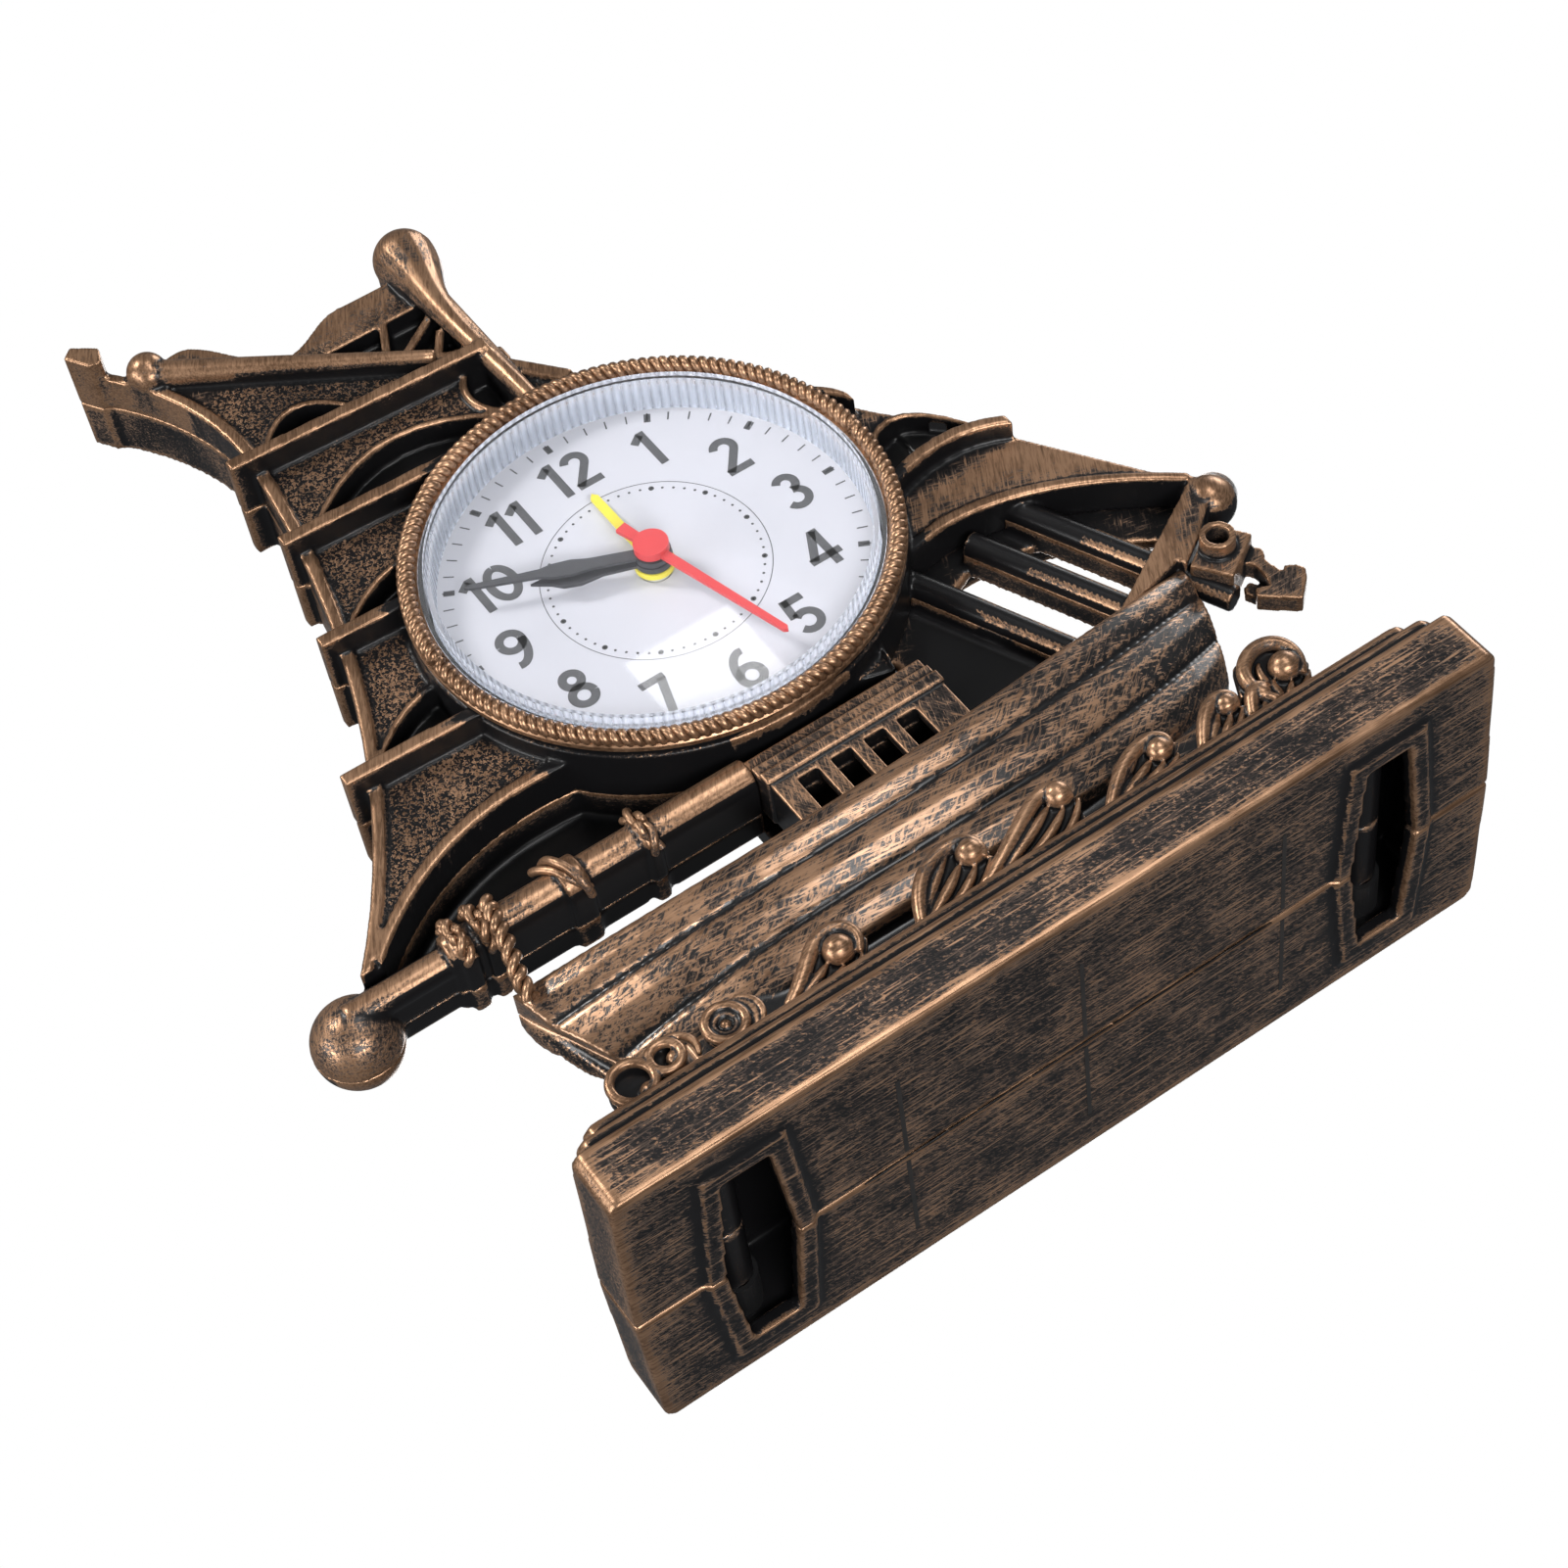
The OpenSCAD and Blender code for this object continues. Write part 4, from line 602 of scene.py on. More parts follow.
cabin_finish = rubbed("cabin_rub", stretch=(1, 1, 8), crossed=(1, 1, 8), edge_catch=0.8, turn=(0, 0.3, 0),
                      cross_turn=(0, -0.6, 0))
piece = moulding(copy_of("cabin", "cabin_skin"), 0.25, 1)
brush(piece, lambda co, normal: np.where(normal[:, 1] < -0.5, 0.42, 0.05), fine=3, broad=30)
finish(thin_out(piece, 0.4), cabin_finish, nodes=["cabin"])

# Sails and spars
# The front moulding carries the sails, battens, mast, gaff, boom and the rims of the arches. The sail cloth
# is pebbled, the hollows under the battens are left black, and the spars catch the most paint.

sail_finish = rubbed("sail_rub", stretch=(1, 1, 10), crossed=(7, 1, 1), edge_catch=0.75, pebble=1.0,
                     turn=(0, 0.5, 0), cross_turn=(0, 0.3, 0))
sail_face = -6.5


def sail_cover(co, normal):
    x, y, z = co.T
    faces_front = normal[:, 1] < -0.45
    raised = y < sail_face - 0.5
    cover = np.where(faces_front, 0.80, -0.02)
    cover[faces_front & raised] = 0.58
    cover[faces_front & (y < -8.5)] = 0.66
    cover[~faces_front & raised] = 0.10
    cover[faces_front & (y > sail_face + 0.6)] = -0.7
    cover[~faces_front & (normal[:, 2] < -0.3)] -= 0.25
    cover[(x > 30) & (z > 104) & faces_front & ~raised & (y < sail_face + 0.6)] = 0.40
    cover[(z > 205) | (x < -82)] = 0.50
    low = (z < 94) & (y > -5.4)
    cover[low] = -0.7
    bow_rim = low & (x > 38) & faces_front & (y < -1)
    cover[bow_rim] = np.where(z[bow_rim] < 79, 0.34, -0.5)
    r = np.hypot(x, z - dial_z)
    cover[(r > 40) & (r < 46.5) & (y < -6.8)] = -0.9
    boom = (np.abs(z - 71) < 5) & (x < 20) & (x > -82)
    cover[boom] = np.where(y[boom] < np.where(x[boom] < -70, -7, -8.3), 0.74, -1.4)
    end_ball = (co - (-88, 0, 69.9)) ** 2 @ (1, 1, 1) < 8.3 ** 2
    cover[end_ball] = np.where(y[end_ball] < -0.5, 0.36, 0.1)
    return cover


def sail_pebbles(co, normal):
    x, y, z = co.T
    field = (np.abs(y - sail_face) < 0.4) & (normal[:, 1] < -0.8) & (z > 76) & (z < 205) & (x < 20)
    return field.astype(float)


drop = strand("drop", [(4.9, -5.4, 215.2), (4.8, -5.7, 211.5), (3.9, -7.0, 206), (2.7, -8.4, 199.5),
                       (2.3, -9.1, 190), (2.9, -9.3, 178), (3.8, -9.1, 164), (4.0, -7.5, 158)],
              [6.2, 6.0, 4.5, 2.9, 2.0, 1.8, 1.8, 1.5], 20)
gaff_taper = strand("gaff", [(-48, -8.2, 216.4), (-42, -8.6, 211.6), (-30, -9, 202.6), (-6, -9.6, 185.6)],
                    [2.6, 2.2, 1.7, 1.3], 16)
gaff_ball = ball_mesh("gaff_ball", (-48.2, -8.0, 217.4), 3.9, 20)
clew_ball = ball_mesh("clew_ball", (83.7, -4.2, 72.3), 4.9, 20)
clew_back = strand("clew_back", [(83.7, -4.2, 72.3), (85.5, -2.1, 74.1), (87.2, -0.3, 75.8)],
                   [4.85, 4.75, 4.4], 24)
leans = (0.95, 0.3, -0.3, -0.6)
rods = [strand("rod", [(foot + lean * -11, -3.3, top + lean * 26) for lean in leans], [2.4] * 4, 16)
        for foot, top in ((43.8, 66.6), (57.2, 66.6), (67.5, 68.7))]
closing = slab_mesh("closing", [(52, 112), (61, 112), (61.3, 116.5), (59.8, 119.6), (52, 119.6)], -3.2, -1.4)
cloth = fill_inside(copy_of("sail_front", "sail_cloth"), -4.5)
parts = [cloth.data, drop, gaff_taper, gaff_ball, clew_ball, clew_back, closing] + rods
cast = joined("sail_front_skin", parts)
bpy.data.objects.remove(cloth)
piece = moulding(cast, 0.42, 1)
brush(piece, sail_cover, sail_pebbles, fine=4, broad=36)
finish(thin_out(piece, 0.35), sail_finish, nodes=["sail_front"])


def rear_cover(co, normal):
    side = np.abs(normal[:, 1]) < 0.5
    cover = np.full(len(co), 0.05)
    cover[side] = 0.2
    cover[(normal[:, 1] < -0.5) & (co[:, 1] > 4)] = -0.6
    cover[(np.abs(co[:, 2] - 71) < 5) & (co[:, 0] < 40)] = -0.5
    return cover


piece = moulding(copy_of("sail_rear", "sail_rear_skin"), 0.6)
brush(piece, rear_cover, fine=3, broad=26)
finish(thin_out(piece, 0.4), sail_finish, nodes=["sail_rear"])

# Wave scrolls
# A row of breaking waves along the plinth's front edge. Each is a ball under a crest that rolls over it,
# with four lower ridges that fan out of the same foot, all moulded in one with a thin web behind.

scroll_finish = rubbed("scroll_rub", stretch=(6, 1, 1), crossed=(1, 1, 6), edge_catch=1.0, streaks=0.7)
scroll_front = -26.6
web_back = scroll_front + 3.4
plinth_top = 17.0
foot_z = plinth_top - 0.4

# Ball centre, ball radius, then the crest from its foot to its rolled end
waves = [
    ((-26.3, 21.2), 2.6,
     [(-38.6, 17.2), (-34.4, 19.8), (-30.6, 24.6), (-25.7, 26.3), (-22.0, 24.6), (-21.4, 20.8),
      (-23.4, 18.2)]),
    ((-0.5, 23.6), 2.35,
     [(-14.6, 17.0), (-12.6, 22.0), (-8.2, 26.0), (-3.0, 27.6), (1.6, 26.4), (2.4, 22.4), (1.0, 20.6)]),
    ((16.4, 24.2), 2.35, [(-2.5, 17.2), (4.9, 21.2), (11.0, 25.6), (16.0, 27.2), (19.2, 24.9), (18.0, 21.4)]),
    ((33.8, 21.5), 2.1, [(20.6, 17.2), (25.2, 22.0), (31.0, 24.9), (35.4, 24.8), (37.2, 21.6), (35.2, 19.4)]),
    ((47.3, 22.1), 1.9, [(38.6, 17.2), (41.4, 21.8), (45.2, 24.8), (48.8, 24.4), (50.0, 21.6), (48.6, 19.8)]),
    ((53.1, 20.4), 1.5, [(48.4, 17.2), (49.8, 20.6), (51.6, 22.4), (54.2, 22.6), (55.4, 20.4)]),
    ((59.1, 22.3), 2.7,
     [(53.4, 17.2), (50.4, 22.4), (53.0, 27.6), (58.6, 29.4), (63.0, 26.8), (63.0, 21.2), (60.6, 18.4)]),
]
# Two points as shares of the way from foot to ball, two in ball radii from its centre, and the ridge's width
ridges = [
    ([(0.08, 0.1), (0.34, 0.62)], [(-1.75, 0.5), (-1.0, 1.15)], 0.8),
    ([(0.14, 0.05), (0.42, 0.28)], [(-1.7, -0.75), (-1.05, -0.35)], 1.0),
    ([(0.34, 0.0), (0.66, 0.12)], [(-0.9, -1.55), (-0.3, -1.05)], 0.85),
    ([(0.7, -0.02), (0.9, 0.05)], [(0.5, -1.7), (0.95, -1.0)], 0.7),
]
meshes = [slab_mesh("scroll_base", [(-68, foot_z), (64.5, foot_z), (64.5, foot_z + 1.3), (-68, foot_z + 1.3)],
                    scroll_front + 0.6, web_back)]
for (x, z), radius, crest in waves:
    foot_x = crest[0][0]
    reach, rise = x - foot_x, z - plinth_top
    meshes.append(ball_mesh("bead", (x, scroll_front + 0.5, z), radius))
    meshes.append(slab_mesh("web", crest + [(x + 1, foot_z)], scroll_front + 1.2, web_back))
    inset = [1.0 / math.hypot(x - cx, z - cz) for cx, cz in crest]
    line = [(cx + (x - cx) * share, cz + (z - cz) * share) for (cx, cz), share in zip(crest, inset)]
    path = [(cx, scroll_front + (0.1 if k else 0.7), cz) for k, (cx, cz) in enumerate(line)]
    meshes.append(strand("crest", path, [1.0] + [1.25] * (len(crest) - 3) + [1.0, 0.6], 16))
    for by_foot, by_ball, width in ridges:
        path = [(foot_x + a * reach, scroll_front + 0.9, plinth_top + b * rise) for a, b in by_foot]
        path += [(x + a * radius, scroll_front + 0.5, z + b * radius) for a, b in by_ball]
        meshes.append(strand("ridge", path, [0.6, width + 0.15, width, 0.3]))

# Three plain volutes at the left end, each a spiral round a boss


def arc_strand(name, centre, reach, first, last, width, y=0.0, end_width=None):
    """A round strand along part of a circle, in degrees counted from the right."""
    steps = max(6, int(abs(last - first) / 20))
    angles = [math.radians(first + (last - first) * k / steps) for k in range(steps + 1)]
    path = [(centre[0] + reach * math.cos(a), scroll_front + y, centre[1] + reach * math.sin(a))
            for a in angles]
    ends = width if end_width is None else end_width
    return strand(name, path, [width] * (steps - 1) + [(width + ends) / 2, ends])


disc_angles = [math.tau * k / 28 for k in range(28)]
for (x, z), reach in (((-46.9, 20.5), 3.6), ((-57.1, 21.0), 3.0), ((-63.3, 20.2), 4.0)):
    disc_rim = [(x + reach * math.cos(a), z + reach * math.sin(a)) for a in disc_angles]
    meshes.append(slab_mesh("volute_floor", disc_rim, scroll_front + 1.4, web_back))
    meshes.append(arc_strand("volute_rim", (x, z), reach - 0.45, -70, 300, 0.85))
meshes.append(arc_strand("volute_ring", (-46.9, 20.5), 1.9, 0, 360, 0.6, 0.4))
meshes.append(ball_mesh("boss", (-46.9, scroll_front + 0.7, 20.5), 0.95))
for shift in (1.3, 2.6):
    meshes.append(arc_strand("volute_edge", (-46.9 + shift, 20.4), 3.5, 75, -60, 0.6, 0.5, 0.4))
meshes.append(ball_mesh("boss", (-56.0, scroll_front + 0.8, 20.4), 1.3))
meshes.append(arc_strand("volute_edge", (-55.4, 20.6), 3.3, 120, -40, 0.7, 0.5, 0.4))
meshes.append(ball_mesh("boss", (-61.8, scroll_front + 0.9, 17.9), 1.6))
piece = moulding(joined("wave_band", meshes), 0.25, 2)
brush(piece, lambda co, normal: np.where(co[:, 1] < scroll_front + 0.6, 0.55, -0.1), fine=4, broad=24)
finish(thin_out(piece, 0.5), scroll_finish, nodes=["wave_scrolls"])

# Bow ring and anchor
# The hawse ring at the bow and the small anchor beside it, cast in one. They stand proud all round, so the
# brush reaches nearly all of them.

piece = moulding(copy_of("bow_anchor", "bow_anchor_skin"), 0.3)
brush(piece, 0.5, fine=4, broad=24)
finish(piece, scroll_finish, nodes=["bow_anchor"])

# Bezel
# A flange seated round the dial and, on it, a ring of laid rope that hides the joint with the crystal. The
# brush catches the strands and leaves the grooves and the flange black.


def geometry_tree(name, ins):
    tree = bpy.data.node_groups.new(name, "GeometryNodeTree")
    start, end = group_sockets(tree, [("Geometry", "NodeSocketGeometry", None)] + ins,
                               [("Geometry", "NodeSocketGeometry")])
    return tree, start.outputs, end.inputs


def tree_node(tree, kind, links=(), **values):
    """A node with its settings, whose inputs take a link each or a plain value."""
    node = tree.nodes.new(kind)
    for key, value in values.items():
        setattr(node, key, value)
    for socket, source in links:
        if hasattr(source, "is_output"):
            tree.links.new(source, node.inputs[socket])
        else:
            node.inputs[socket].default_value = source
    return node


def run_tree(thing, tree, **values):
    """Runs a geometry tree on an object with the inputs named, and keeps the plain mesh."""
    modifier = thing.modifiers.new(tree.name, "NODES")
    modifier.node_group = tree
    sockets = {item.name: item.identifier for item in tree.interface.items_tree if item.in_out == "INPUT"}
    for name, value in values.items():
        modifier[sockets[name.replace("_", " ")]] = value
    depsgraph = bpy.context.evaluated_depsgraph_get()
    mesh = bpy.data.meshes.new_from_object(thing.evaluated_get(depsgraph))
    plain = bpy.data.objects.new(thing.name, mesh)
    bpy.data.objects.remove(thing)
    scene.collection.objects.link(plain)
    return plain


rope, start, end = geometry_tree("laid rope", [
    ("Samples", "NodeSocketInt", 400), ("Strands", "NodeSocketInt", 3), ("Turns", "NodeSocketFloat", 10.0),
    ("Lay radius", "NodeSocketFloat", 0.001), ("Strand radius", "NodeSocketFloat", 0.001),
    ("Sides", "NodeSocketInt", 8), ("Material", "NodeSocketMaterial", None)])
even = tree_node(rope, "GeometryNodeResampleCurve", [
    ("Curve", start["Geometry"]), ("Count", start["Samples"])])
strands = tree_node(rope, "GeometryNodeDuplicateElements", [
    ("Geometry", even.outputs[0]), ("Amount", start["Strands"])], domain="SPLINE")
along = tree_node(rope, "GeometryNodeSplineParameter")
turn = maths(rope, "MULTIPLY", maths(rope, "MULTIPLY", along.outputs["Factor"], start["Turns"]), math.tau)
phase = maths(rope, "DIVIDE", strands.outputs["Duplicate Index"], start["Strands"])
phase = maths(rope, "MULTIPLY", phase, math.tau)
normal = tree_node(rope, "GeometryNodeInputNormal")
tangent = tree_node(rope, "GeometryNodeInputTangent")
swing = tree_node(rope, "ShaderNodeVectorRotate", [
    ("Vector", normal.outputs[0]), ("Center", (0, 0, 0)), ("Axis", tangent.outputs[0]),
    ("Angle", maths(rope, "ADD", turn, phase))], rotation_type="AXIS_ANGLE")
reach = tree_node(rope, "ShaderNodeVectorMath", [
    (0, swing.outputs[0]), ("Scale", start["Lay radius"])], operation="SCALE")
laid = tree_node(rope, "GeometryNodeSetPosition", [
    ("Geometry", strands.outputs[0]), ("Offset", reach.outputs[0])])
section = tree_node(rope, "GeometryNodeCurvePrimitiveCircle", [
    ("Resolution", start["Sides"]), ("Radius", start["Strand radius"])])
swept = tree_node(rope, "GeometryNodeCurveToMesh", [
    ("Curve", laid.outputs[0]), ("Profile Curve", section.outputs[0]), ("Fill Caps", True)])
smooth = tree_node(rope, "GeometryNodeSetShadeSmooth", [("Geometry", swept.outputs[0])])
whole = tree_node(rope, "GeometryNodeRealizeInstances", [("Geometry", smooth.outputs[0])])
dressed = tree_node(rope, "GeometryNodeSetMaterial", [
    ("Geometry", whole.outputs[0]), ("Material", start["Material"])])
rope.links.new(dressed.outputs[0], end["Geometry"])


def path_curve(name, points, closed):
    curve = bpy.data.curves.new(name, "CURVE")
    curve.dimensions = "3D"
    curve.twist_mode = "Z_UP"
    spline = curve.splines.new("POLY")
    spline.points.add(len(points) - 1)
    for point, place in zip(spline.points, points):
        point.co = (*at(*place), 1)
    spline.use_cyclic_u = closed
    thing = bpy.data.objects.new(name, curve)
    scene.collection.objects.link(thing)
    return thing


def laid_rope(name, points, turns, width, material, samples, closed=False, strands=2, sides=8):
    """A rope of the given width in mm, laid along a path."""
    thing = path_curve(name, points, closed)
    return run_tree(thing, rope, Samples=samples, Strands=strands, Turns=float(turns), Sides=sides,
                    Lay_radius=width * 0.27 * MM, Strand_radius=width * 0.26 * MM, Material=material)


def lathe(name, profile, steps=256):
    """A closed ring about the dial's axis from an outline of (radius, y) points in mm."""
    vertices, faces = [], []
    for k in range(steps):
        a = math.tau * k / steps
        vertices += [at(r * math.sin(a), y, dial_z + r * math.cos(a)) for r, y in profile]
    count = len(profile)
    for k in range(steps):
        for m in range(count):
            here, far = k * count, (k + 1) % steps * count
            faces.append((here + m, here + (m + 1) % count, far + (m + 1) % count, far + m))
    mesh = bpy.data.meshes.new(name)
    mesh.from_pydata(vertices, [], faces)
    shape = bmesh.new()
    shape.from_mesh(mesh)
    bmesh.ops.recalc_face_normals(shape, faces=shape.faces)
    for face in shape.faces:
        face.smooth = True
    for edge in shape.edges:
        edge.smooth = edge.calc_face_angle(0) < 0.6
    shape.to_mesh(mesh)
    shape.free()
    return mesh


bezel_finish = rubbed("bezel_rub", stretch=(2, 1, 2), grain=1800, edge_catch=1.3, streaks=0.6)
ring_low, ring_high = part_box("bezel_ring")
flange_r = (ring_high.x - ring_low.x) / 2 / MM
flange_y = (ring_high.y - origin.y) / MM
bezel_r = 42.2
rope_y = -13.7
lobes = 150
around = [math.tau * k / 360 for k in range(360)]
ring = [(bezel_r * math.sin(a), rope_y, dial_z + bezel_r * math.cos(a)) for a in around]
strands = laid_rope("bezel_strands", ring, lobes / 2, 3.1, bezel_finish, lobes * 6, closed=True)
flange = lathe("bezel_flange", [(bezel_r - 1.9, flange_y), (flange_r, flange_y), (flange_r, flange_y - 0.9),
                                (flange_r - 0.3, flange_y - 1.2), (bezel_r - 1.9, flange_y - 1.2)])
piece = joined("bezel_rope", [strands.data, flange])
bpy.data.objects.remove(strands)
brush(piece, lambda co, normal: np.where(co[:, 1] < flange_y - 1.3, 0.45, -0.9), fine=2, broad=6)
finish(piece, bezel_finish, nodes=["bezel_ring"])

# Lashings
# Laid ropes cast on the boom: single and double turns, one pair that crosses the boom at a slant, and a
# heavier rope that runs down to the stern.

boom_y, boom_z = -6.5, 70.8


def turn_about_boom(name, start_x, end_x, reach, width, turns):
    """Rope from above the boom round its front to below it, from one place along it to another."""
    path = []
    for k in range(41):
        a = math.radians(-75 + 150 * k / 40)
        path.append((start_x + (end_x - start_x) * k / 40, boom_y - reach * math.cos(a),
                     boom_z - reach * math.sin(a)))
    return laid_rope(name, path, turns, width, sail_finish, 120, sides=12)


lashings = [turn_about_boom("lashing", *row) for row in (
    (-67.8, -67.2, 4.2, 2.7, 2.5), (-63.6, -62.8, 4.4, 2.7, 2.5), (-50.2, -45.0, 4.6, 2.9, 0.8),
    (-33.0, -32.2, 4.5, 2.6, 1.5))]
fall = [(-60.4, -10.2, 73.6), (-60.6, -11.2, 71), (-61.2, -11.2, 67), (-62.2, -10.6, 62), (-63.4, -9.8, 57.6),
        (-63.6, -8.6, 54.2)]
lashings.append(laid_rope("lashing_fall", fall, 3.5, 3.1, sail_finish, 160, sides=12))
piece = joined("lashings", [rope_piece.data for rope_piece in lashings])
for rope_piece in lashings:
    bpy.data.objects.remove(rope_piece)


def lashing_cover(co, normal):
    x, y, z = co.T
    return np.where((normal[:, 1] < 0) & ((z > 69.5) | (x < -59) & (y < -9)), 0.52, 0.0)


brush(piece, lashing_cover, fine=2, broad=5)
finish(piece, sail_finish)

# Dial print
# Printed in dark grey on the white dial: bold upright numerals, minute marks, and an inner ring of dots. All
# are flat shapes a hair in front of the dial's face.

print_finish, tree, shader = blank_material("dial_print")
speckle = noise(tree, tree.nodes.new("ShaderNodeTexCoord").outputs["Object"], 900, 3, 0.6)
ink = mix_colour(tree, speckle, (0.045, 0.045, 0.05), (0.058, 0.058, 0.064))
tree.links.new(ink, shader.inputs["Base Color"])
shader.inputs["Roughness"].default_value = 0.5
print_y = -6.53
copies, start, end = geometry_tree("turned copies", [
    ("Count", "NodeSocketInt", 12), ("Centre", "NodeSocketVector", None),
    ("Material", "NodeSocketMaterial", None)])
spots = tree_node(copies, "GeometryNodePoints", [("Count", start["Count"])])
index = tree_node(copies, "GeometryNodeInputIndex").outputs[0]
angle = maths(copies, "MULTIPLY", maths(copies, "DIVIDE", index, start["Count"]), math.tau)
turned = tree_node(copies, "ShaderNodeCombineXYZ", [("Y", angle)])
turning = tree_node(copies, "FunctionNodeEulerToRotation", [(0, turned.outputs[0])])
placed = tree_node(copies, "GeometryNodeInstanceOnPoints", [
    ("Points", spots.outputs[0]), ("Instance", start["Geometry"]), ("Rotation", turning.outputs[0])])
centred = tree_node(copies, "GeometryNodeTransform", [
    ("Geometry", placed.outputs[0]), ("Translation", start["Centre"])])
whole = tree_node(copies, "GeometryNodeRealizeInstances", [("Geometry", centred.outputs[0])])
dressed = tree_node(copies, "GeometryNodeSetMaterial", [
    ("Geometry", whole.outputs[0]), ("Material", start["Material"])])
copies.links.new(dressed.outputs[0], end["Geometry"])


def flat_shape(name, polygons):
    """Flat print on the dial from polygons in mm about its middle, facing the front."""
    mesh = bpy.data.meshes.new(name)
    vertices, faces = [], []
    for polygon in polygons:
        faces.append(tuple(range(len(vertices), len(vertices) + len(polygon))))
        vertices += [(x * MM, 0, z * MM) for x, z in polygon]
    mesh.from_pydata(vertices, [], faces)
    shape = bmesh.new()
    shape.from_mesh(mesh)
    for face in shape.faces:
        face.normal_update()
        if face.normal.y > 0:
            face.normal_flip()
    shape.to_mesh(mesh)
    shape.free()
    thing = bpy.data.objects.new(name, mesh)
    scene.collection.objects.link(thing)
    return thing


def disc(x, z, radius, sides=14):
    angles = [math.tau * k / sides for k in range(sides)]
    return [(x + radius * math.cos(a), z + radius * math.sin(a)) for a in angles]


def print_ring(name, count, polygon):
    """Prints a polygon, drawn at twelve o'clock, a number of times round the dial."""
    thing = run_tree(flat_shape(name, [polygon]), copies, Count=count, Centre=at(0, print_y, dial_z),
                     Material=print_finish)
    finish(thing, print_finish)


print_ring("minute_marks", 60, [(-0.14, 35.2), (0.14, 35.2), (0.14, 37.1), (-0.14, 37.1)])
print_ring("hour_marks", 12, [(-0.6, 34.9), (0.6, 34.9), (0.6, 36.9), (-0.6, 36.9)])
print_ring("dots", 60, disc(0, 18.8, 0.25))
print_ring("hour_dots", 12, disc(0, 18.8, 0.52))
arc = [math.radians(a) for a in (-1.5, 0, 1.5)]
print_ring("inner_ring", 120, [(20.28 * math.sin(a), 20.28 * math.cos(a)) for a in arc]
           + [(20.14 * math.sin(a), 20.14 * math.cos(a)) for a in reversed(arc)])


def bow(cx, cz, rx, rz, first, last, steps=14):
    """Part of an ellipse from one angle to another, in degrees."""
    return [(cx + rx * math.cos(math.radians(first + (last - first) * k / steps)),
             cz + rz * math.sin(math.radians(first + (last - first) * k / steps))) for k in range(steps + 1)]


# Strokes of the numerals, as middle lines in a cell one unit high
stroke = 0.172
half = stroke / 2
strokes = {
    "0": [bow(0, 0.5, 0.245, 0.5 - half, 90, 450, 32)],
    "1": [[(0.07, 0), (0.07, 1)], [(0.04, 0.925), (-0.17, 0.76)]],
    "2": [bow(0, 0.715, 0.2, 0.2, 165, -38, 16) + [(-0.215, half)], [(-0.27, half), (0.27, half)]],
    "3": [bow(0, 0.72, 0.185, 0.195, 155, -80, 14), bow(0, 0.305, 0.215, 0.22, 85, -158, 16)],
    "4": [[(0.1, 0.97), (-0.245, 0.29)], [(-0.33, 0.29), (0.33, 0.29)], [(0.125, 0), (0.125, 1)]],
    "5": [[(0.22, 1 - half), (-0.2, 1 - half)], [(-0.15, 1), (-0.19, 0.5)],
          bow(0, 0.325, 0.225, 0.235, 135, -150, 18)],
    "6": [bow(0, 0.31, 0.215, 0.225, 0, 360, 28), bow(0.1, 0.36, 0.315, 0.555, 80, 185, 10)],
    "7": [[(-0.25, 1 - half), (0.27, 1 - half)], [(0.2, 1 - half), (-0.07, 0)]],
    "8": [bow(0, 0.735, 0.175, 0.18, 0, 360, 24), bow(0, 0.3, 0.215, 0.215, 0, 360, 28)],
}
strokes["9"] = [[(-x, 1 - z) for x, z in line] for line in strokes["6"]]
advance = {digit: 0.44 if digit == "1" else 0.68 for digit in strokes}


def ribbon(line, width):
    """Polygons that follow a middle line with the given width."""
    sides = []
    for k, (x, z) in enumerate(line):
        ax, az = line[max(0, k - 1)]
        bx, bz = line[min(len(line) - 1, k + 1)]
        if line[0] == line[-1] and k in (0, len(line) - 1):
            (ax, az), (bx, bz) = line[-2], line[1]
        length = math.hypot(bx - ax, bz - az)
        nx, nz = (az - bz) / length * width / 2, (bx - ax) / length * width / 2
        sides.append(((x + nx, z + nz), (x - nx, z - nz)))
    return [[a[0], a[1], b[1], b[0]] for a, b in zip(sides, sides[1:])]


numeral_r = 28.3
numeral_h = 9.2
polygons = []
for hour in range(1, 13):
    a = math.radians(30 * hour)
    digits = str(hour)
    widths = [advance[digit] for digit in digits]
    x = -sum(widths) / 2
    for digit, width in zip(digits, widths):
        for line in strokes[digit]:
            for quad in ribbon(line, stroke):
                polygons.append([(numeral_r * math.sin(a) + numeral_h * (x + width / 2 + px),
                                  numeral_r * math.cos(a) + numeral_h * (pz - 0.5)) for px, pz in quad])
        x += width
numerals = flat_shape("numerals", polygons)
numerals.data.transform(Matrix.Translation(at(0, print_y, dial_z)))
finish(numerals, print_finish)


# Dial, hands, movement and back
# These keep the CAD's shapes: plain mouldings, stamped hands, wheels and screws. Each takes the finish of
# its slot, with a faint mottle, since no moulded or plated face is quite even.


def plain(name, colour, roughness, metallic=0.0, mottle=0.12):
    material, tree, shader = blank_material(name)
    speckle = noise(tree, tree.nodes.new("ShaderNodeTexCoord").outputs["Object"], 500, 4, 0.6)
    dark = tuple(c * (1 - mottle) for c in colour)
    tree.links.new(mix_colour(tree, speckle, dark, colour), shader.inputs["Base Color"])
    tree.links.new(maths(tree, "MULTIPLY_ADD", speckle, 0.12, roughness - 0.06), shader.inputs["Roughness"])
    shader.inputs["Metallic"].default_value = metallic
    bump = tree.nodes.new("ShaderNodeBump")
    bump.inputs["Strength"].default_value = 0.3
    bump.inputs["Distance"].default_value = 0.00002
    tree.links.new(speckle, bump.inputs["Height"])
    tree.links.new(bump.outputs["Normal"], shader.inputs["Normal"])
    return material


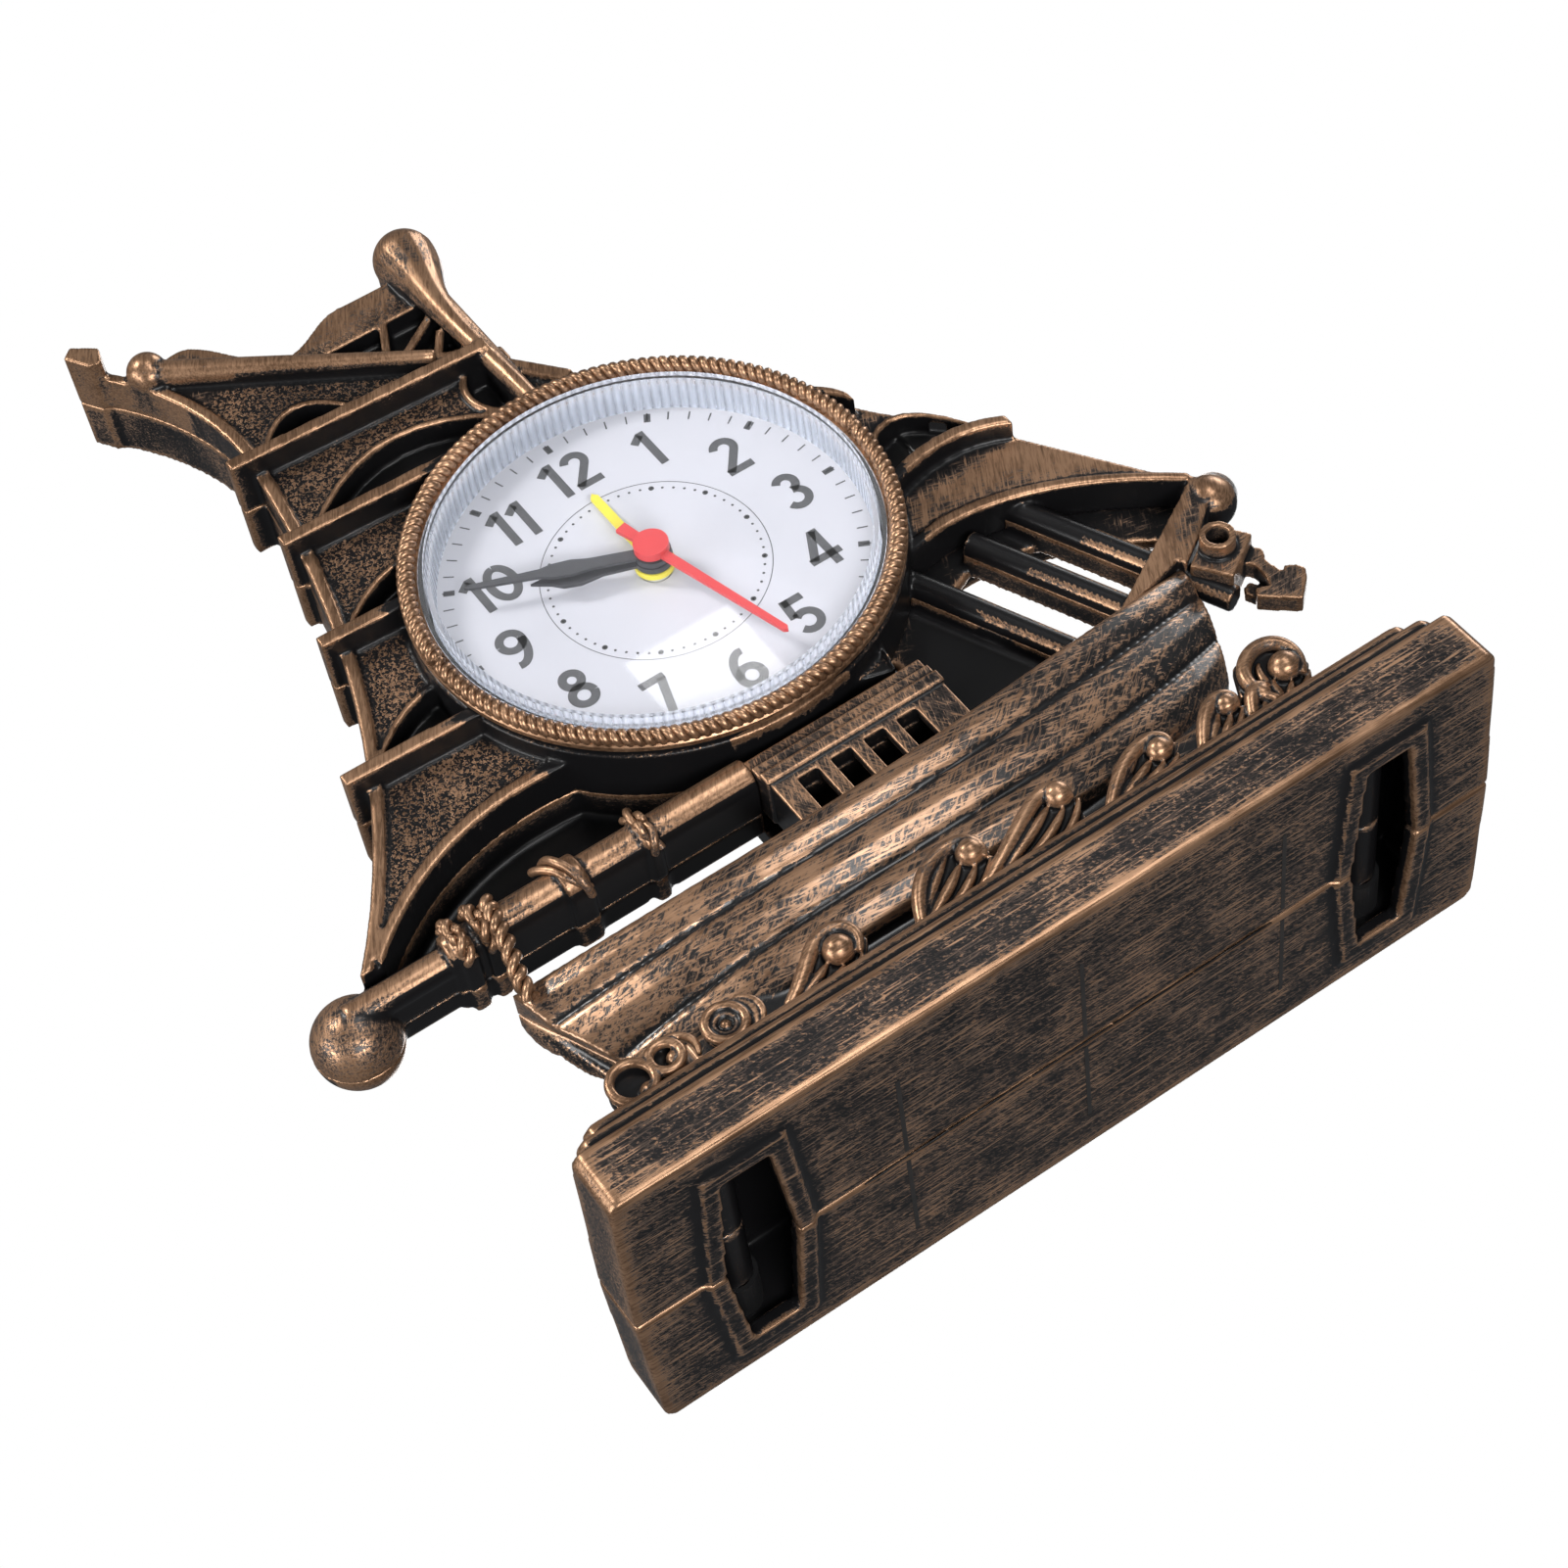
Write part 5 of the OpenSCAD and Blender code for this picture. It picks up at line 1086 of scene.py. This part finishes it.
finishes = {
    "black_plastic": plain("black_plastic", (0.022, 0.022, 0.024), 0.38),
    "dial_white": plain("dial_white", (0.57, 0.57, 0.625), 0.5, mottle=0.02),
    "hand_black": plain("hand_black", (0.03, 0.03, 0.036), 0.4),
    "hand_red": plain("hand_red", (0.62, 0.035, 0.04), 0.4),
    "hand_yellow": plain("hand_yellow", (0.80, 0.68, 0.05), 0.45),
    "steel": plain("steel", (0.6, 0.6, 0.62), 0.3, metallic=1.0),
    "wheel_plastic": plain("wheel_plastic", (0.80, 0.79, 0.74), 0.45),
    "plate_plastic": plain("plate_plastic", (0.06, 0.06, 0.065), 0.5),
    "copper_wire": plain("copper_wire", (0.55, 0.24, 0.12), 0.3, metallic=1.0),
    "board_green": plain("board_green", (0.03, 0.16, 0.07), 0.3),
    "cell_jacket": plain("cell_jacket", (0.25, 0.26, 0.28), 0.3, metallic=0.8),
}
slots = {row["node"]: row["material_slot"] for row in frame["record"]["subparts"]}
for node, thing in frame["nodes"].items():
    if slots[node] in finishes:
        dress(thing, finishes[slots[node]])
dress(frame["nodes"]["case_screws"], plain("case_screw_black", (0.02, 0.02, 0.02), 0.5, metallic=0.6))

# Crystal
# A clear plastic cup over the dial. Its side wall is fluted and looks milky. The light that falls on the dial
# passes it as if it weren't there.

crystal_finish, tree, glass = blank_material("clear_crystal")
glass.inputs["IOR"].default_value = 1.46
glass.inputs["Transmission Weight"].default_value = 1
place = tree.nodes.new("ShaderNodeTexCoord")
across = tree.nodes.new("ShaderNodeSeparateXYZ")
facing = tree.nodes.new("ShaderNodeSeparateXYZ")
tree.links.new(place.outputs["Object"], across.inputs[0])
tree.links.new(place.outputs["Normal"], facing.inputs[0])
dial_middle = at(0, 0, dial_z)
flute_count = 144
angle = maths(tree, "ARCTAN2", maths(tree, "SUBTRACT", across.outputs["X"], dial_middle.x),
              maths(tree, "SUBTRACT", across.outputs["Z"], dial_middle.z))
flutes = maths(tree, "SINE", maths(tree, "MULTIPLY", angle, flute_count))
wall = ramp(tree, maths(tree, "ABSOLUTE", facing.outputs["Y"]), 0.6, 0.2)
bump = tree.nodes.new("ShaderNodeBump")
bump.inputs["Strength"].default_value = 1
bump.inputs["Distance"].default_value = 0.0004
tree.links.new(maths(tree, "MULTIPLY", flutes, wall), bump.inputs["Height"])
tree.links.new(bump.outputs["Normal"], glass.inputs["Normal"])
tree.links.new(mix_colour(tree, wall, (0.97, 0.985, 1), (0.80, 0.86, 0.95)), glass.inputs["Base Color"])
tree.links.new(maths(tree, "MULTIPLY_ADD", wall, 0.2, 0.02), glass.inputs["Roughness"])
milky_back = tree.nodes.new("ShaderNodeBsdfTranslucent")
milky_back.inputs["Color"].default_value = (0.50, 0.53, 0.60, 1)
milky_front = tree.nodes.new("ShaderNodeBsdfDiffuse")
milky_front.inputs["Color"].default_value = (0.46, 0.49, 0.56, 1)
milky = tree.nodes.new("ShaderNodeAddShader")
tree.links.new(milky_back.outputs[0], milky.inputs[0])
tree.links.new(milky_front.outputs[0], milky.inputs[1])
milkiness = maths(tree, "MULTIPLY", wall, maths(tree, "MULTIPLY_ADD", flutes, 0.15, 0.35))
body = mix_shaders(tree, milkiness, glass.outputs[0], milky.outputs[0])
clear = tree.nodes.new("ShaderNodeBsdfTransparent")
path = tree.nodes.new("ShaderNodeLightPath")
lets_light = maths(tree, "MAXIMUM", path.outputs["Is Shadow Ray"], path.outputs["Is Diffuse Ray"])
surface = mix_shaders(tree, lets_light, body, clear.outputs[0])
tree.links.new(surface, tree.nodes["Material Output"].inputs["Surface"])
dress(frame["nodes"]["crystal"], crystal_finish)
